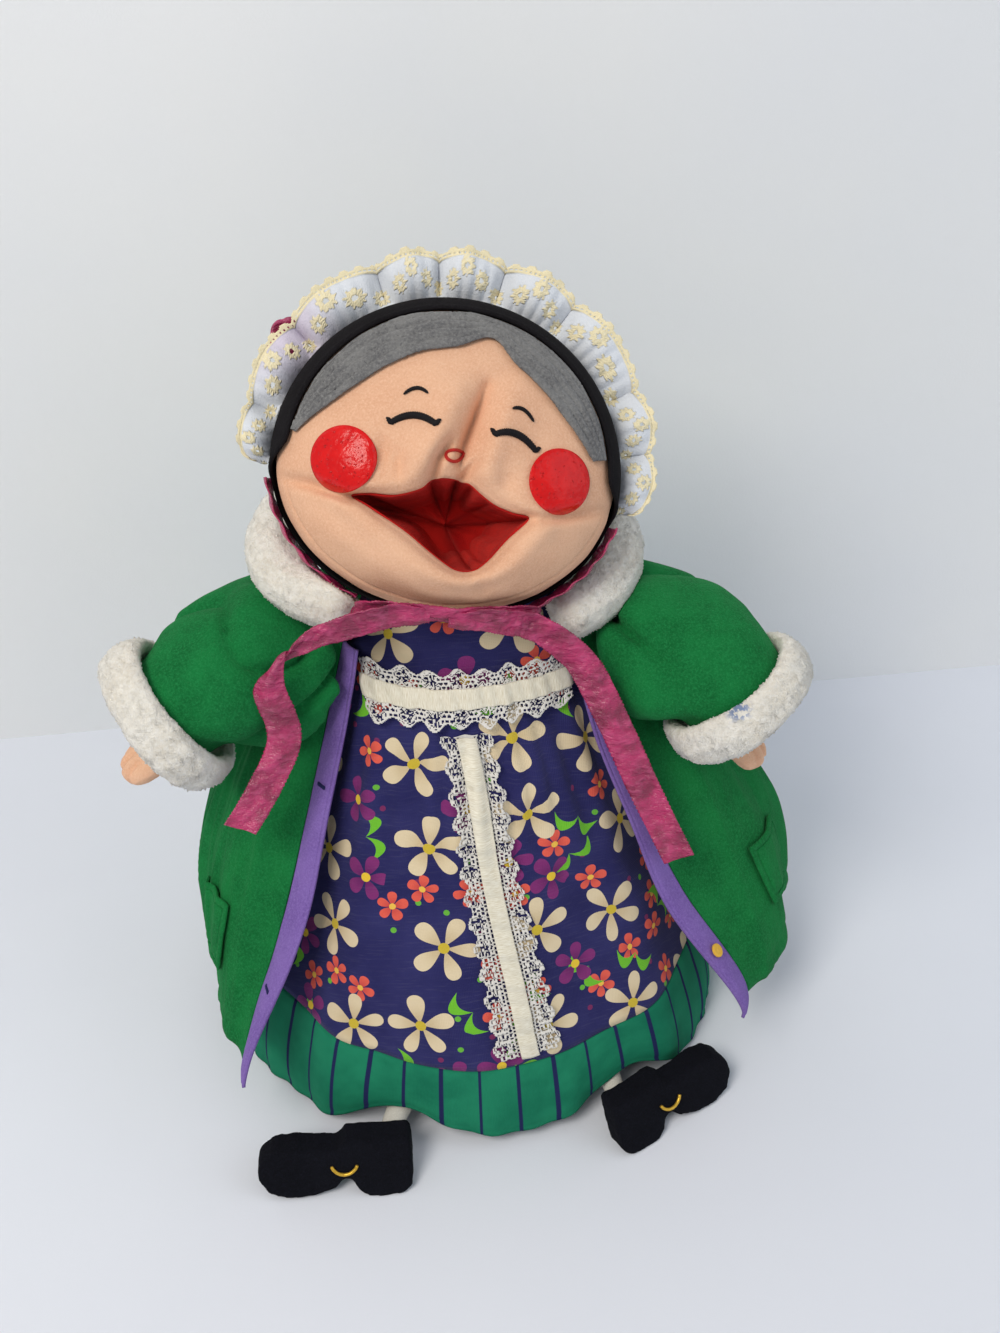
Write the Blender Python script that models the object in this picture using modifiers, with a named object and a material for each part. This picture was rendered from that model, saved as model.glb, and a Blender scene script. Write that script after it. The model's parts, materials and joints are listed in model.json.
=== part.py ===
"""A grandmother hand puppet: a plush doll in a green coat, sitting up with its mouth open.

Metres, +Z up. The doll faces -Y and rests on its skirt hem and its two felt boots.
The body is a leaning cone of cloth layers, and the head is a padded shell with a red mouth pocket.
"""

import math

import bmesh
import bpy
from mathutils import Matrix, Vector

# Places the middle of the whole doll over the origin
CENTRE_SHIFT = Vector((-0.000216, 0.004284, 0.0))

# General cloth sizes
SEWN_GAP = 0.0004
SEAM_WELD = 0.00001
COTTON = 0.0010
FLEECE = 0.0018
FELT = 0.0016
SATIN = 0.0006
LACE = 0.0009
LAYER_GAP = 0.0012

# Hand sleeve, the plain cotton tube that holds the body together
SLEEVE_FOOT = 0.006
SLEEVE_TOP = 0.291
SLEEVE_FOOT_HALF_WIDTH = 0.080
SLEEVE_FOOT_HALF_DEPTH = 0.066
SLEEVE_TOP_HALF_WIDTH = 0.029
SLEEVE_TOP_HALF_DEPTH = 0.022
BODY_FOOT_Y = -0.006
BODY_TOP_Y = 0.046

# Dress and hem band
DRESS_TOP = 0.268
HEM_HALF_WIDTH = 0.133
HEM_HALF_DEPTH = 0.110
SKIRT_SWELL = 0.045
TUCK = 0.05
TUCK_HEIGHT = 0.035
FOLD_DEPTH = 0.0042
BAND_SIDE_HEIGHT = 0.053
BAND_FRONT_DROP = 0.012
HEM_REST = 0.0003
HEM_FRONT_LIFT = 0.007
HEM_BOOT_LIFT = 0.016
BOOT_TURN = math.radians(29)
BOOT_LIFT_SPREAD = math.radians(13)

# Lace and satin on the dress front
LACE_FOOT_X = 0.006
LACE_HEAD_X = -0.010
LACE_FOOT = 0.047
LACE_HEAD = 0.238
LACE_HALF_WIDTH_FOOT = 0.0155
LACE_HALF_WIDTH_HEAD = 0.0105
CHEST_LACE_LOW = 0.192
CHEST_LACE_HIGH = 0.219
CHEST_LACE_LEFT = -0.050
CHEST_LACE_RIGHT = 0.040
SATIN_WIDTH = 0.0085
LACE_SEAM = 0.0026

# Coat, as rows of height, then x and y of the front edge and of the side, and y of the back
COAT_HEM = 0.045
COAT_TOP = 0.254
COAT_SIDE_SHARE = 0.5
LEFT_COAT_ROWS = (
    (0.045, -0.128, -0.070, -0.135, 0.012, 0.121),
    (0.100, -0.104, -0.042, -0.135, 0.020, 0.119),
    (0.150, -0.085, -0.018, -0.118, 0.026, 0.112),
    (0.200, -0.068, 0.004, -0.090, 0.034, 0.102),
    (0.235, -0.056, 0.016, -0.067, 0.038, 0.091),
    (0.254, -0.042, 0.022, -0.049, 0.042, 0.081),
)
RIGHT_COAT_ROWS = (
    (0.045, 0.124, -0.076, 0.165, 0.000, 0.121),
    (0.100, 0.092, -0.052, 0.158, 0.008, 0.119),
    (0.150, 0.072, -0.034, 0.128, 0.020, 0.112),
    (0.200, 0.055, -0.010, 0.091, 0.032, 0.102),
    (0.235, 0.045, 0.006, 0.068, 0.038, 0.091),
    (0.254, 0.034, 0.018, 0.049, 0.042, 0.081),
)
COAT_FOLD = 0.0045
FACING_WIDTH = 0.015
FACING_ROLL = 0.006
FACING_ROOM = 0.0070
FACING_DROP = 0.031
FACING_RISE = 0.0075
COAT_ROOM = FLEECE + 0.0018
POCKET_SIZE = 0.030
POCKET_LOW = 0.074
POCKET_SHARE = 0.66
BUTTON_RADIUS = 0.0035
BUTTON_THICKNESS = 0.0010
BUTTON_SHARE = 0.16

# Arms: where each sleeve starts under the shoulder, and where its cuff sits
LEFT_SHOULDER = Vector((-0.066, 0.042, 0.209))
RIGHT_SHOULDER = Vector((0.066, 0.040, 0.202))
SHOULDER_RADIUS = 0.031
SLEEVE_PUFF = 0.011
WRIST_RADIUS = 0.0265
LEFT_CUFF = Vector((-0.143, 0.000, 0.202))
LEFT_ARM = Vector((-0.84, -0.06, -0.54))
RIGHT_CUFF = Vector((0.120, -0.033, 0.196))
RIGHT_ARM = Vector((0.56, -0.30, -0.75))
CUFF_HALF_LENGTH = 0.0115
CUFF_THICKNESS = 0.0120
HAND_REACH = 0.031
HAND_HALF_WIDTH = 0.0145
HAND_HALF_DEPTH = 0.0085
HAND_DROP = 0.012

# Collar: a plush roll, as points from its left end round the back to its right end
COLLAR_RADIUS = 0.0140
COLLAR_END_SHARE = 0.08
COLLAR_PATH = (
    Vector((-0.062, -0.006, 0.254)),
    Vector((-0.081, 0.008, 0.258)),
    Vector((-0.087, 0.030, 0.266)),
    Vector((-0.072, 0.062, 0.273)),
    Vector((-0.040, 0.090, 0.275)),
    Vector((0.000, 0.099, 0.274)),
    Vector((0.040, 0.088, 0.270)),
    Vector((0.066, 0.058, 0.264)),
    Vector((0.075, 0.030, 0.253)),
    Vector((0.063, 0.006, 0.242)),
    Vector((0.044, -0.006, 0.236)),
)

# Head, in its own frame: x to the doll's image right, y to the back, z to the crown
HEAD_CENTRE = Vector((-0.0095, 0.012, 0.303))
HEAD_TURN = math.radians(-6)
HEAD_PITCH = math.radians(-28)
HEAD_ROLL = math.radians(10)
HEAD_HALF_WIDTH = 0.0745
HEAD_CROWN = 0.0735
HEAD_CHIN = 0.0600
FACE_DEPTH = 0.038
BACK_DEPTH = 0.040
HEAD_WALL = 0.008
CREASE_DEPTH = 0.0045
HAIR_INNER_POLAR = math.radians(45)
HAIR_OUTER_POLAR = math.radians(63)
CROWN_POLAR = math.radians(65)
HEAD_SKIN_GAP = 0.0016
HAIR_GAP = 0.0010
CHIN_BARE = math.radians(32)
RUFFLE_POLAR = math.radians(98)
RUFFLE_WIDTH = 0.021
RUFFLE_GATHERS = 9
RUFFLE_WAVE = 0.0055
EAR_TURN_RIGHT = math.radians(-6)
EAR_TURN_LEFT = math.radians(184)

# Face, as x and z on the front of the head
MOUTH_OUTLINE = (
    (-0.0370, -0.0155),
    (-0.0200, -0.0120),
    (-0.0080, -0.0060),
    (0.0010, -0.0045),
    (0.0170, -0.0085),
    (0.0320, -0.0120),
    (0.0405, -0.0150),
    (0.0350, -0.0230),
    (0.0250, -0.0320),
    (0.0120, -0.0405),
    (0.0000, -0.0365),
    (-0.0135, -0.0285),
    (-0.0280, -0.0200),
)
MOUTH_MIDDLE = (0.004, -0.019)
MOUTH_SEAM = 0.0016
MOUTH_POCKET_DEPTH = 0.040
CHEEK_RADIUS = 0.0135
LEFT_CHEEK = (-0.0445, -0.001)
RIGHT_CHEEK = (0.0460, 0.0015)
CHEEK_THICKNESS = 0.0007
STITCH_RADIUS = 0.0010

# Ribbon
RIBBON_WIDTH = 0.015
BOW_WIDTH = 0.011
STRAP_POLAR = math.radians(93)
RIBBON_RISE = 0.0049

# Boots
BOOT_THICKNESS = 0.013
BOOT_LEAN = 0.55
BOOT_SHAFT = 0.0275
LEG_RADIUS = 0.0062
LEG_TOP = 0.026
LEFT_HEEL = Vector((-0.059, -0.129, 0.0))
LEFT_TOE_HEADING = math.radians(172)
RIGHT_HEEL = Vector((0.049, -0.132, 0.0))
RIGHT_TOE_HEADING = math.radians(23)


def clear_scene():
    for old in list(bpy.data.objects):
        bpy.data.objects.remove(old, do_unlink=True)


def new_collection(name):
    collection = bpy.data.collections.new(name)
    bpy.context.scene.collection.children.link(collection)
    return collection


def cloth_material(name, colour, roughness=0.9, metallic=0.0):
    material = bpy.data.materials.new(name)
    material.use_nodes = True
    shader = material.node_tree.nodes["Principled BSDF"]
    shader.inputs["Base Color"].default_value = (*colour, 1.0)
    shader.inputs["Roughness"].default_value = roughness
    shader.inputs["Metallic"].default_value = metallic
    material.diffuse_color = (*colour, 1.0)
    return material


def curve_at(points, share, closed=False):
    """A smooth curve through the points, read at a share of its length in points."""
    count = len(points)
    spans = count if closed else count - 1
    index = min(int(share * spans), spans - 1)
    part = share * spans - index
    places = range(index - 1, index + 3)
    if closed:
        before, first, second, after = (Vector(points[place % count]) for place in places)
    else:
        before, first, second, after = (Vector(points[min(max(place, 0), spans)]) for place in places)
    return (
        first * 2
        + (second - before) * part
        + (before * 2 - first * 5 + second * 4 - after) * part**2
        + (first * 3 - before - second * 3 + after) * part**3
    ) * 0.5


def row_at(rows, height):
    """The row of sizes at a height, on smooth curves through the given rows."""
    index = 0
    while index < len(rows) - 2 and height > rows[index + 1][0]:
        index += 1
    part = (height - rows[index][0]) / (rows[index + 1][0] - rows[index][0])
    part = min(max(part, 0.0), 1.0)
    sizes = [row[1:] for row in rows]
    values = []
    for column in range(len(sizes[0])):
        line = [(position, size[column], 0.0) for position, size in enumerate(sizes)]
        values.append(curve_at(line, (index + part) / (len(rows) - 1)).y)
    return values


def blend(first, second, share):
    return first + (second - first) * share


def add_node(name, mesh, material, smooth=True):
    mesh.materials.append(material)
    if smooth:
        mesh.shade_smooth()
    obj = bpy.data.objects.new(name, mesh)
    doll.objects.link(obj)
    obj.parent = doll_origin
    return obj


def grid_work(columns, rows, place):
    """A grid whose corners run from 0 to 1 both ways, each vertex put where place says."""
    work = bmesh.new()
    bmesh.ops.create_grid(work, x_segments=columns, y_segments=rows, size=0.5)
    for vert in work.verts:
        vert.co = place(vert.co.x + 0.5, vert.co.y + 0.5)
    bmesh.ops.remove_doubles(work, verts=work.verts, dist=SEAM_WELD)
    return work


def sheet(name, columns, rows, place, thickness, material):
    """A piece of cloth: an open surface with its thickness laid on the outer side."""
    work = grid_work(columns, rows, place)
    mesh = bpy.data.meshes.new(name)
    work.to_mesh(mesh)
    work.free()
    obj = add_node(name, mesh, material)
    wall = obj.modifiers.new("Cloth thickness", "SOLIDIFY")
    wall.thickness = thickness
    wall.offset = 1.0
    wall.use_even_offset = True
    return obj


def face_outward(work):
    bmesh.ops.recalc_face_normals(work, faces=work.faces)
    if work.calc_volume(signed=True) < 0:
        bmesh.ops.reverse_faces(work, faces=work.faces)


def stuffed(name, around, along, place, material):
    """A stuffed form: a sphere whose turn and share from pole to pole give each point."""
    work = bmesh.new()
    bmesh.ops.create_uvsphere(work, u_segments=around, v_segments=along, radius=1.0)
    for vert in work.verts:
        turn = math.atan2(vert.co.y, vert.co.x)
        share = math.acos(min(max(vert.co.z, -1.0), 1.0)) / math.pi
        vert.co = place(turn, share)
    face_outward(work)
    mesh = bpy.data.meshes.new(name)
    work.to_mesh(mesh)
    work.free()
    return add_node(name, mesh, material)


def cord_piece(name, points, radius, material, closed=False):
    """A raised line of stitches or a bent metal strip, as a thin tube along the points."""
    curve = bpy.data.curves.new(name, "CURVE")
    curve.dimensions = "3D"
    line = curve.splines.new("POLY")
    line.points.add(len(points) - 1)
    for spot, point in zip(line.points, points):
        spot.co = (*point, 1.0)
    line.use_cyclic_u = closed
    curve.bevel_depth = radius
    curve.bevel_resolution = 1
    curve.use_fill_caps = not closed
    curve.materials.append(material)
    obj = bpy.data.objects.new(name, curve)
    doll.objects.link(obj)
    obj.parent = doll_origin
    return obj


def cut(obj, cutter):
    opening = obj.modifiers.new("Cut " + cutter.name, "BOOLEAN")
    opening.operation = "DIFFERENCE"
    opening.object = cutter
    opening.solver = "EXACT"


def add_cutter(name, work):
    face_outward(work)
    mesh = bpy.data.meshes.new(name)
    work.to_mesh(mesh)
    work.free()
    obj = bpy.data.objects.new(name, mesh)
    cutters.objects.link(obj)
    obj.parent = doll_origin
    obj.hide_render = True
    obj.display_type = "WIRE"
    return obj


# Body layers

def sleeve_point(turn, height, out=0.0):
    share = (height - SLEEVE_FOOT) / (SLEEVE_TOP - SLEEVE_FOOT)
    half_width = blend(SLEEVE_FOOT_HALF_WIDTH, SLEEVE_TOP_HALF_WIDTH, share) + out
    half_depth = blend(SLEEVE_FOOT_HALF_DEPTH, SLEEVE_TOP_HALF_DEPTH, share) + out
    middle = blend(BODY_FOOT_Y, BODY_TOP_Y, height / SLEEVE_TOP)
    return Vector((half_width * math.sin(turn), middle - half_depth * math.cos(turn), height))


def dress_ring(height):
    """Half width, half depth and middle of the dress at a height; its neck fits the hand sleeve."""
    share = height / DRESS_TOP
    neck = sleeve_point(math.pi / 2, DRESS_TOP, COTTON * 1.5 + SEWN_GAP)
    middle = blend(BODY_FOOT_Y, BODY_TOP_Y, height / SLEEVE_TOP)
    neck_depth = blend(BODY_FOOT_Y, BODY_TOP_Y, DRESS_TOP / SLEEVE_TOP)
    neck_depth -= sleeve_point(0.0, DRESS_TOP, COTTON * 1.5 + SEWN_GAP).y
    tuck = TUCK * max(0.0, 1 - height / TUCK_HEIGHT) ** 2
    swell = 1 + SKIRT_SWELL * math.sin(math.pi * min(share, 1.0)) - tuck
    half_width = blend(HEM_HALF_WIDTH, neck.x, share) * swell
    half_depth = blend(HEM_HALF_DEPTH, neck_depth, share) * swell
    return half_width, half_depth, middle


def skirt_fold(turn, height):
    depth = FOLD_DEPTH * max(0.0, 1 - height / DRESS_TOP) ** 1.2
    waves = math.cos(9 * turn + 0.4) + 0.6 * math.cos(5 * turn + 2.1) + 0.4 * math.cos(14 * turn + 4.0)
    return depth * waves / 2


def dress_point(turn, height, out=0.0):
    half_width, half_depth, middle = dress_ring(height)
    reach = skirt_fold(turn, height) + out
    return Vector(
        (
            (half_width + reach) * math.sin(turn),
            middle - (half_depth + reach) * math.cos(turn),
            height,
        )
    )


def clear_of_dress(spot, room):
    """The spot itself, or where it is too close to the dress, the same way out with that much room."""
    half_width, half_depth, middle = dress_ring(spot.z)
    turn = math.atan2(spot.x / half_width, (middle - spot.y) / half_depth)
    reach = skirt_fold(turn, spot.z) + room
    ratio = math.hypot(spot.x / (half_width + reach), (spot.y - middle) / (half_depth + reach))
    if ratio >= 1:
        return spot
    return Vector((spot.x / ratio, middle + (spot.y - middle) / ratio, spot.z))


def dress_front(across, height, out):
    """A point on the dress front at a distance across it."""
    half_width = dress_ring(height)[0]
    turn = math.asin(min(max(across / half_width, -0.98), 0.98))
    return dress_point(turn, height, out)


def boot_nearness(turn):
    near = 0.0
    for side in (-1, 1):
        near += math.exp(-(((turn - side * BOOT_TURN) / BOOT_LIFT_SPREAD) ** 2))
    return near


def hem_height(turn):
    front = max(0.0, math.cos(turn)) ** 2
    return HEM_REST + HEM_FRONT_LIFT * front + HEM_BOOT_LIFT * boot_nearness(turn)


def band_top(turn):
    return BAND_SIDE_HEIGHT - BAND_FRONT_DROP * max(0.0, math.cos(turn)) ** 2


def full_turn(share):
    """From the back round to the back, with the front at the middle."""
    return 2 * math.pi * (share - 0.5)


def build_body():
    cotton = cloth_material("plain cotton", (0.62, 0.60, 0.55))
    sheet(
        "hand_sleeve",
        28,
        5,
        lambda u, v: sleeve_point(full_turn(u), blend(SLEEVE_FOOT, SLEEVE_TOP, v)),
        COTTON * 1.5,
        cotton,
    )
    print_cotton = cloth_material("flowered cotton", (0.035, 0.03, 0.14))

    def dress_place(u, v):
        turn = full_turn(u)
        return dress_point(turn, blend(band_top(turn) + SEWN_GAP, DRESS_TOP, v))

    sheet("dress", 56, 8, dress_place, COTTON, print_cotton)
    striped = cloth_material("striped cotton", (0.02, 0.22, 0.12))

    def band_place(u, v):
        turn = full_turn(u)
        return dress_point(turn, blend(hem_height(turn), band_top(turn), v))

    sheet("hem_band", 56, 3, band_place, COTTON, striped)


def build_lace():
    lace = cloth_material("white lace", (0.85, 0.83, 0.78))
    satin = cloth_material("white satin", (0.82, 0.80, 0.72), 0.35)
    lace_out = COTTON + LAYER_GAP
    satin_out = lace_out + LACE + SEWN_GAP * 2

    def front_middle(share):
        return blend(LACE_FOOT_X, LACE_HEAD_X, share**0.8)

    def lace_front(u, v):
        half = blend(LACE_HALF_WIDTH_FOOT, LACE_HALF_WIDTH_HEAD, v) * (1 + 0.08 * math.cos(40 * v))
        height = blend(LACE_FOOT, CHEST_LACE_LOW - LACE_SEAM, v)
        return dress_front(front_middle(v) + (u * 2 - 1) * half, height, lace_out)

    sheet("lace_front", 4, 18, lace_front, LACE, lace)

    def satin_front(u, v):
        height = blend(LACE_FOOT, CHEST_LACE_LOW - LACE_SEAM, v)
        return dress_front(front_middle(v) + (u - 0.5) * SATIN_WIDTH, height, satin_out)

    sheet("satin_front", 1, 14, satin_front, SATIN, satin)

    def lace_chest(u, v):
        across = blend(CHEST_LACE_LEFT, CHEST_LACE_RIGHT, u)
        edge = 0.0012 * math.cos(2 * math.pi * 11 * u) * (v * 2 - 1)
        return dress_front(across, blend(CHEST_LACE_LOW, CHEST_LACE_HIGH, v) + edge, lace_out)

    sheet("lace_chest", 22, 3, lace_chest, LACE, lace)

    def satin_chest(u, v):
        across = blend(CHEST_LACE_LEFT, CHEST_LACE_RIGHT, u)
        middle = (CHEST_LACE_LOW + CHEST_LACE_HIGH) / 2
        return dress_front(across, middle + (v - 0.5) * SATIN_WIDTH, satin_out)

    sheet("satin_chest", 16, 1, satin_chest, SATIN, satin)


# Coat

def coat_outline(side, share, height):
    """A level line of the coat: share 0 at the middle of the back, 1 at the front edge."""
    rows = LEFT_COAT_ROWS if side < 0 else RIGHT_COAT_ROWS
    edge_x, edge_y, side_x, side_y, back_y = row_at(rows, height)
    if share < COAT_SIDE_SHARE:
        swing = share / COAT_SIDE_SHARE * math.pi / 2
        return Vector(
            (side_x * math.sin(swing), side_y + (back_y - side_y) * math.cos(swing), height)
        )
    part = (share - COAT_SIDE_SHARE) / (1 - COAT_SIDE_SHARE)
    corner_y = blend(side_y, edge_y, 0.6)
    across = (1 - part) ** 2 * side_x + 2 * part * (1 - part) * side_x + part**2 * edge_x
    along = (1 - part) ** 2 * side_y + 2 * part * (1 - part) * corner_y + part**2 * edge_y
    return Vector((across, along, height))


def coat_outward(side, share, height):
    """The level direction that points away from the body."""
    step = 0.01
    ahead = coat_outline(side, min(share + step, 1.0), height)
    behind = coat_outline(side, max(share - step, 0.0), height)
    along = ahead - behind
    return Vector((-along.y, along.x, 0.0)).normalized() * side


def coat_fold(side, share, height):
    depth = COAT_FOLD * (1 - height / COAT_TOP) ** 0.9 * (1 - share**4)
    around = share - COAT_SIDE_SHARE
    return depth * (math.cos(19 * around) + 0.5 * side * math.sin(27 * around) + 0.3)


def coat_point(side, share, height, out=0.0):
    spot = coat_outline(side, share, height)
    spot += coat_outward(side, share, height) * coat_fold(side, share, height)
    spot = clear_of_dress(spot, COTTON + LAYER_GAP)
    return spot + coat_outward(side, share, height) * out


def coat_hem(side, share):
    return COAT_HEM + 0.004 * math.cos(9 * share + side)


def coat_envelope():
    """The whole coat as a closed form a little larger than its outer side, to shape what lies on it."""
    foot = COAT_HEM - 0.01
    front_share = 0.1

    def place(u, v):
        height = blend(foot, COAT_TOP, v)
        if u < front_share:
            right = coat_point(1, 1.0, height, COAT_ROOM + FACING_RISE)
            left = coat_point(-1, 1.0, height, COAT_ROOM + FACING_RISE)
            return blend(right, left, u / front_share)
        around = (u - front_share) / (1 - front_share)
        side = -1 if around < 0.5 else 1
        share = abs(around * 2 - 1)
        near_edge = max(0.0, (share - 0.75) / 0.25)
        return coat_point(side, share, height, COAT_ROOM + FACING_RISE * near_edge)

    work = grid_work(60, 14, place)
    bmesh.ops.holes_fill(work, edges=[edge for edge in work.edges if edge.is_boundary], sides=0)
    return add_cutter("coat envelope", work)


def facing_point(side, reach, share):
    """A point on the turned-out front edge, from its seam outward and from its foot up."""
    height = blend(coat_hem(side, 1.0), COAT_TOP - FACING_DROP, share)
    edge = coat_point(side, 1.0, height)
    along = (edge - coat_outline(side, 0.96, height)).normalized()
    outward = coat_outward(side, 1.0, height)
    roll = FACING_ROLL * math.sin(reach * math.pi / 2) * (1 - 0.4 * share)
    roll *= 1 + 0.35 * math.sin(14 * share + side)
    width = FACING_WIDTH * blend(1.0, 0.6, share)
    spot = edge + along * (LAYER_GAP * 0.8 + reach * width) + outward * roll
    return clear_of_dress(spot, FACING_ROOM)


def build_button():
    """The one round button sewn near the foot of the right facing."""
    spot = facing_point(1, 0.5, BUTTON_SHARE)
    across = (facing_point(1, 0.8, BUTTON_SHARE) - facing_point(1, 0.2, BUTTON_SHARE)).normalized()
    up = (facing_point(1, 0.5, BUTTON_SHARE + 0.05) - spot).normalized()
    outward = across.cross(up).normalized()
    outward = outward if outward.dot(coat_outward(1, 1.0, spot.z)) > 0 else -outward
    up = outward.cross(across)
    centre = spot + outward * (FELT + SEWN_GAP + BUTTON_THICKNESS)

    def disc(turn, share):
        reach = BUTTON_RADIUS * math.sin(math.pi * share) ** 0.5
        ring = across * math.cos(turn) + up * math.sin(turn)
        return centre + ring * reach + outward * BUTTON_THICKNESS * math.cos(math.pi * share)

    stuffed("coat_button", 12, 6, disc, cloth_material("yellow button", (0.75, 0.45, 0.08), 0.4))


def build_coat():
    fleece = cloth_material("green fleece", (0.012, 0.21, 0.055))
    seam_share = COAT_SIDE_SHARE

    def back_place(u, v):
        side = 1 if u < 0.5 else -1
        share = abs(u * 2 - 1) * seam_share
        return coat_point(side, share, blend(coat_hem(side, share), COAT_TOP, v))

    sheet("coat_back", 28, 8, back_place, FLEECE, fleece)
    lilac = cloth_material("lilac felt", (0.22, 0.12, 0.42))
    for side, name in ((-1, "left"), (1, "right")):
        seam = 0.005

        def front_place(u, v):
            share = blend(seam_share + seam, 1.0, u if side < 0 else 1 - u)
            return coat_point(side, share, blend(coat_hem(side, share), COAT_TOP, v))

        sheet("coat_front_" + name, 9, 8, front_place, FLEECE, fleece)

        def facing_place(u, v):
            return facing_point(side, u if side < 0 else 1 - u, v)

        sheet("facing_" + name, 3, 14, facing_place, FELT, lilac)

        def pocket_place(u, v):
            height = POCKET_LOW + POCKET_SIZE * v
            share = POCKET_SHARE + 0.16 * (u if side < 0 else 1 - u)
            return coat_point(side, share, height, FLEECE + LAYER_GAP)

        sheet("pocket_" + name, 4, 4, pocket_place, FLEECE, fleece)


def ring_axes(axis):
    """A forward and an upward direction square to an axis."""
    upward = (Vector((0, 0, 1)) - axis * axis.z).normalized()
    forward = upward.cross(axis)
    return (forward if forward.y < 0 else -forward), upward


def build_arms(envelope, collar_room):
    fleece = cloth_material("green sleeve fleece", (0.012, 0.21, 0.055))
    plush = cloth_material("cream plush", (0.83, 0.80, 0.72))
    skin = cloth_material("peach hand fleece", (0.72, 0.42, 0.28))
    root_share = 0.18
    knee_share = 0.70
    wrist_share = 0.86
    cap_depth = CUFF_HALF_LENGTH * 0.25
    for side, name, shoulder, cuff, arm in (
        (-1, "left", LEFT_SHOULDER, LEFT_CUFF, LEFT_ARM.normalized()),
        (1, "right", RIGHT_SHOULDER, RIGHT_CUFF, RIGHT_ARM.normalized()),
    ):
        forward, upward = ring_axes(arm)
        knee = cuff - arm * CUFF_HALF_LENGTH * 1.2
        wrist = cuff + arm * CUFF_HALF_LENGTH * 0.2
        upper = (knee - shoulder).normalized()
        upper_forward, upper_upward = ring_axes(upper)

        def sleeve_place(turn, share):
            root_ring = upper_forward * math.cos(turn) + upper_upward * math.sin(turn)
            wrist_ring = forward * math.cos(turn) + upward * math.sin(turn)
            if share < root_share:
                closing = math.pi / 2 * (1 - share / root_share)
                return (
                    shoulder
                    + root_ring * SHOULDER_RADIUS * math.cos(closing)
                    - upper * 0.3 * SHOULDER_RADIUS * math.sin(closing)
                )
            if share > wrist_share:
                closing = math.pi / 2 * (share - wrist_share) / (1 - wrist_share)
                reach = arm * cap_depth * math.sin(closing)
                return wrist + wrist_ring * WRIST_RADIUS * math.cos(closing) + reach
            if share > knee_share:
                part = (share - knee_share) / (wrist_share - knee_share)
                return blend(knee, wrist, part) + wrist_ring * WRIST_RADIUS
            part = (share - root_share) / (knee_share - root_share)
            puff = SLEEVE_PUFF * math.sin(math.pi * part) ** 0.7
            creases = 1 + 0.20 * math.cos(3 * turn + 8 * part + side)
            middle = blend(shoulder, knee, part)
            radius = blend(SHOULDER_RADIUS, WRIST_RADIUS, part**1.5)
            ring = blend(root_ring, wrist_ring, part).normalized()
            return middle + ring * (radius + puff * creases)

        sleeve = stuffed("sleeve_" + name, 20, 14, sleeve_place, fleece)
        cut(sleeve, envelope)
        cut(sleeve, collar_room)
        middle_radius = WRIST_RADIUS + SEWN_GAP * 2 + CUFF_THICKNESS / 2

        def cuff_place(u, v):
            turn = 2 * math.pi * u
            around = 2 * math.pi * v
            ring = forward * math.cos(turn) + upward * math.sin(turn)
            swell = math.cos(around) * CUFF_THICKNESS / 2
            reach = math.sin(around) * CUFF_HALF_LENGTH * (1 + 0.06 * math.cos(3 * turn))
            return cuff + ring * (middle_radius + swell) + arm * reach

        work = grid_work(20, 8, cuff_place)
        face_outward(work)
        mesh = bpy.data.meshes.new("cuff_" + name)
        work.to_mesh(mesh)
        work.free()
        cuff_ring = add_node("cuff_" + name, mesh, plush)
        cut(cuff_ring, envelope)

        def hand_place(turn, share):
            start = wrist + arm * (cap_depth + SEWN_GAP) - upward * HAND_DROP
            fat = math.sin(math.pi * share) ** 0.55
            return (
                start
                + arm * HAND_REACH * (1 - math.cos(math.pi * share)) / 2
                + forward * HAND_HALF_WIDTH * fat * math.cos(turn)
                + upward * HAND_HALF_DEPTH * fat * math.sin(turn)
            )

        stuffed("hand_" + name, 12, 8, hand_place, skin)


def collar_point(turn, share, out=0.0):
    end = COLLAR_END_SHARE
    along = min(max((share - end) / (1 - 2 * end), 0.0), 1.0)
    centre = curve_at(COLLAR_PATH, along)
    ahead = curve_at(COLLAR_PATH, min(along + 0.01, 1.0))
    behind = curve_at(COLLAR_PATH, max(along - 0.01, 0.0))
    axis = (ahead - behind).normalized()
    upward = (Vector((0, 0, 1)) - axis * axis.z).normalized()
    outward = axis.cross(upward)
    closing = max(0.0, 1 - min(share, 1 - share) / end)
    fat = math.sqrt(1 - closing**2)
    past = closing * (COLLAR_RADIUS * 0.7 + out) * (-1 if share < 0.5 else 1)
    radius = (COLLAR_RADIUS * (1 + 0.05 * math.cos(23 * share)) + out) * fat
    return centre + axis * past + (outward * math.cos(turn) + upward * math.sin(turn)) * radius


def collar_room_cutter():
    """The collar with a little air round it, to shape the shoulders of the sleeves."""
    work = bmesh.new()
    bmesh.ops.create_uvsphere(work, u_segments=10, v_segments=34, radius=1.0)
    for vert in work.verts:
        turn = math.atan2(vert.co.y, vert.co.x)
        share = math.acos(min(max(vert.co.z, -1.0), 1.0)) / math.pi
        vert.co = collar_point(turn, share, SEWN_GAP * 2)
    face_outward(work)
    return add_cutter("collar room", work)


def build_collar(envelope, head_room):
    plush = cloth_material("cream collar plush", (0.84, 0.81, 0.74))
    collar = stuffed("fur_collar", 10, 34, collar_point, plush)
    cut(collar, envelope)
    cut(collar, head_room)


# Head

def head_frame():
    turn = Matrix.Rotation(HEAD_TURN, 4, "Z") @ Matrix.Rotation(HEAD_PITCH, 4, "X")
    return Matrix.Translation(HEAD_CENTRE) @ turn @ Matrix.Rotation(HEAD_ROLL, 4, "Y")


def soft_bump(x, z, middle_x, middle_z, spread_x, spread_z):
    return math.exp(-(((x - middle_x) / spread_x) ** 2) - (((z - middle_z) / spread_z) ** 2))


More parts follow.
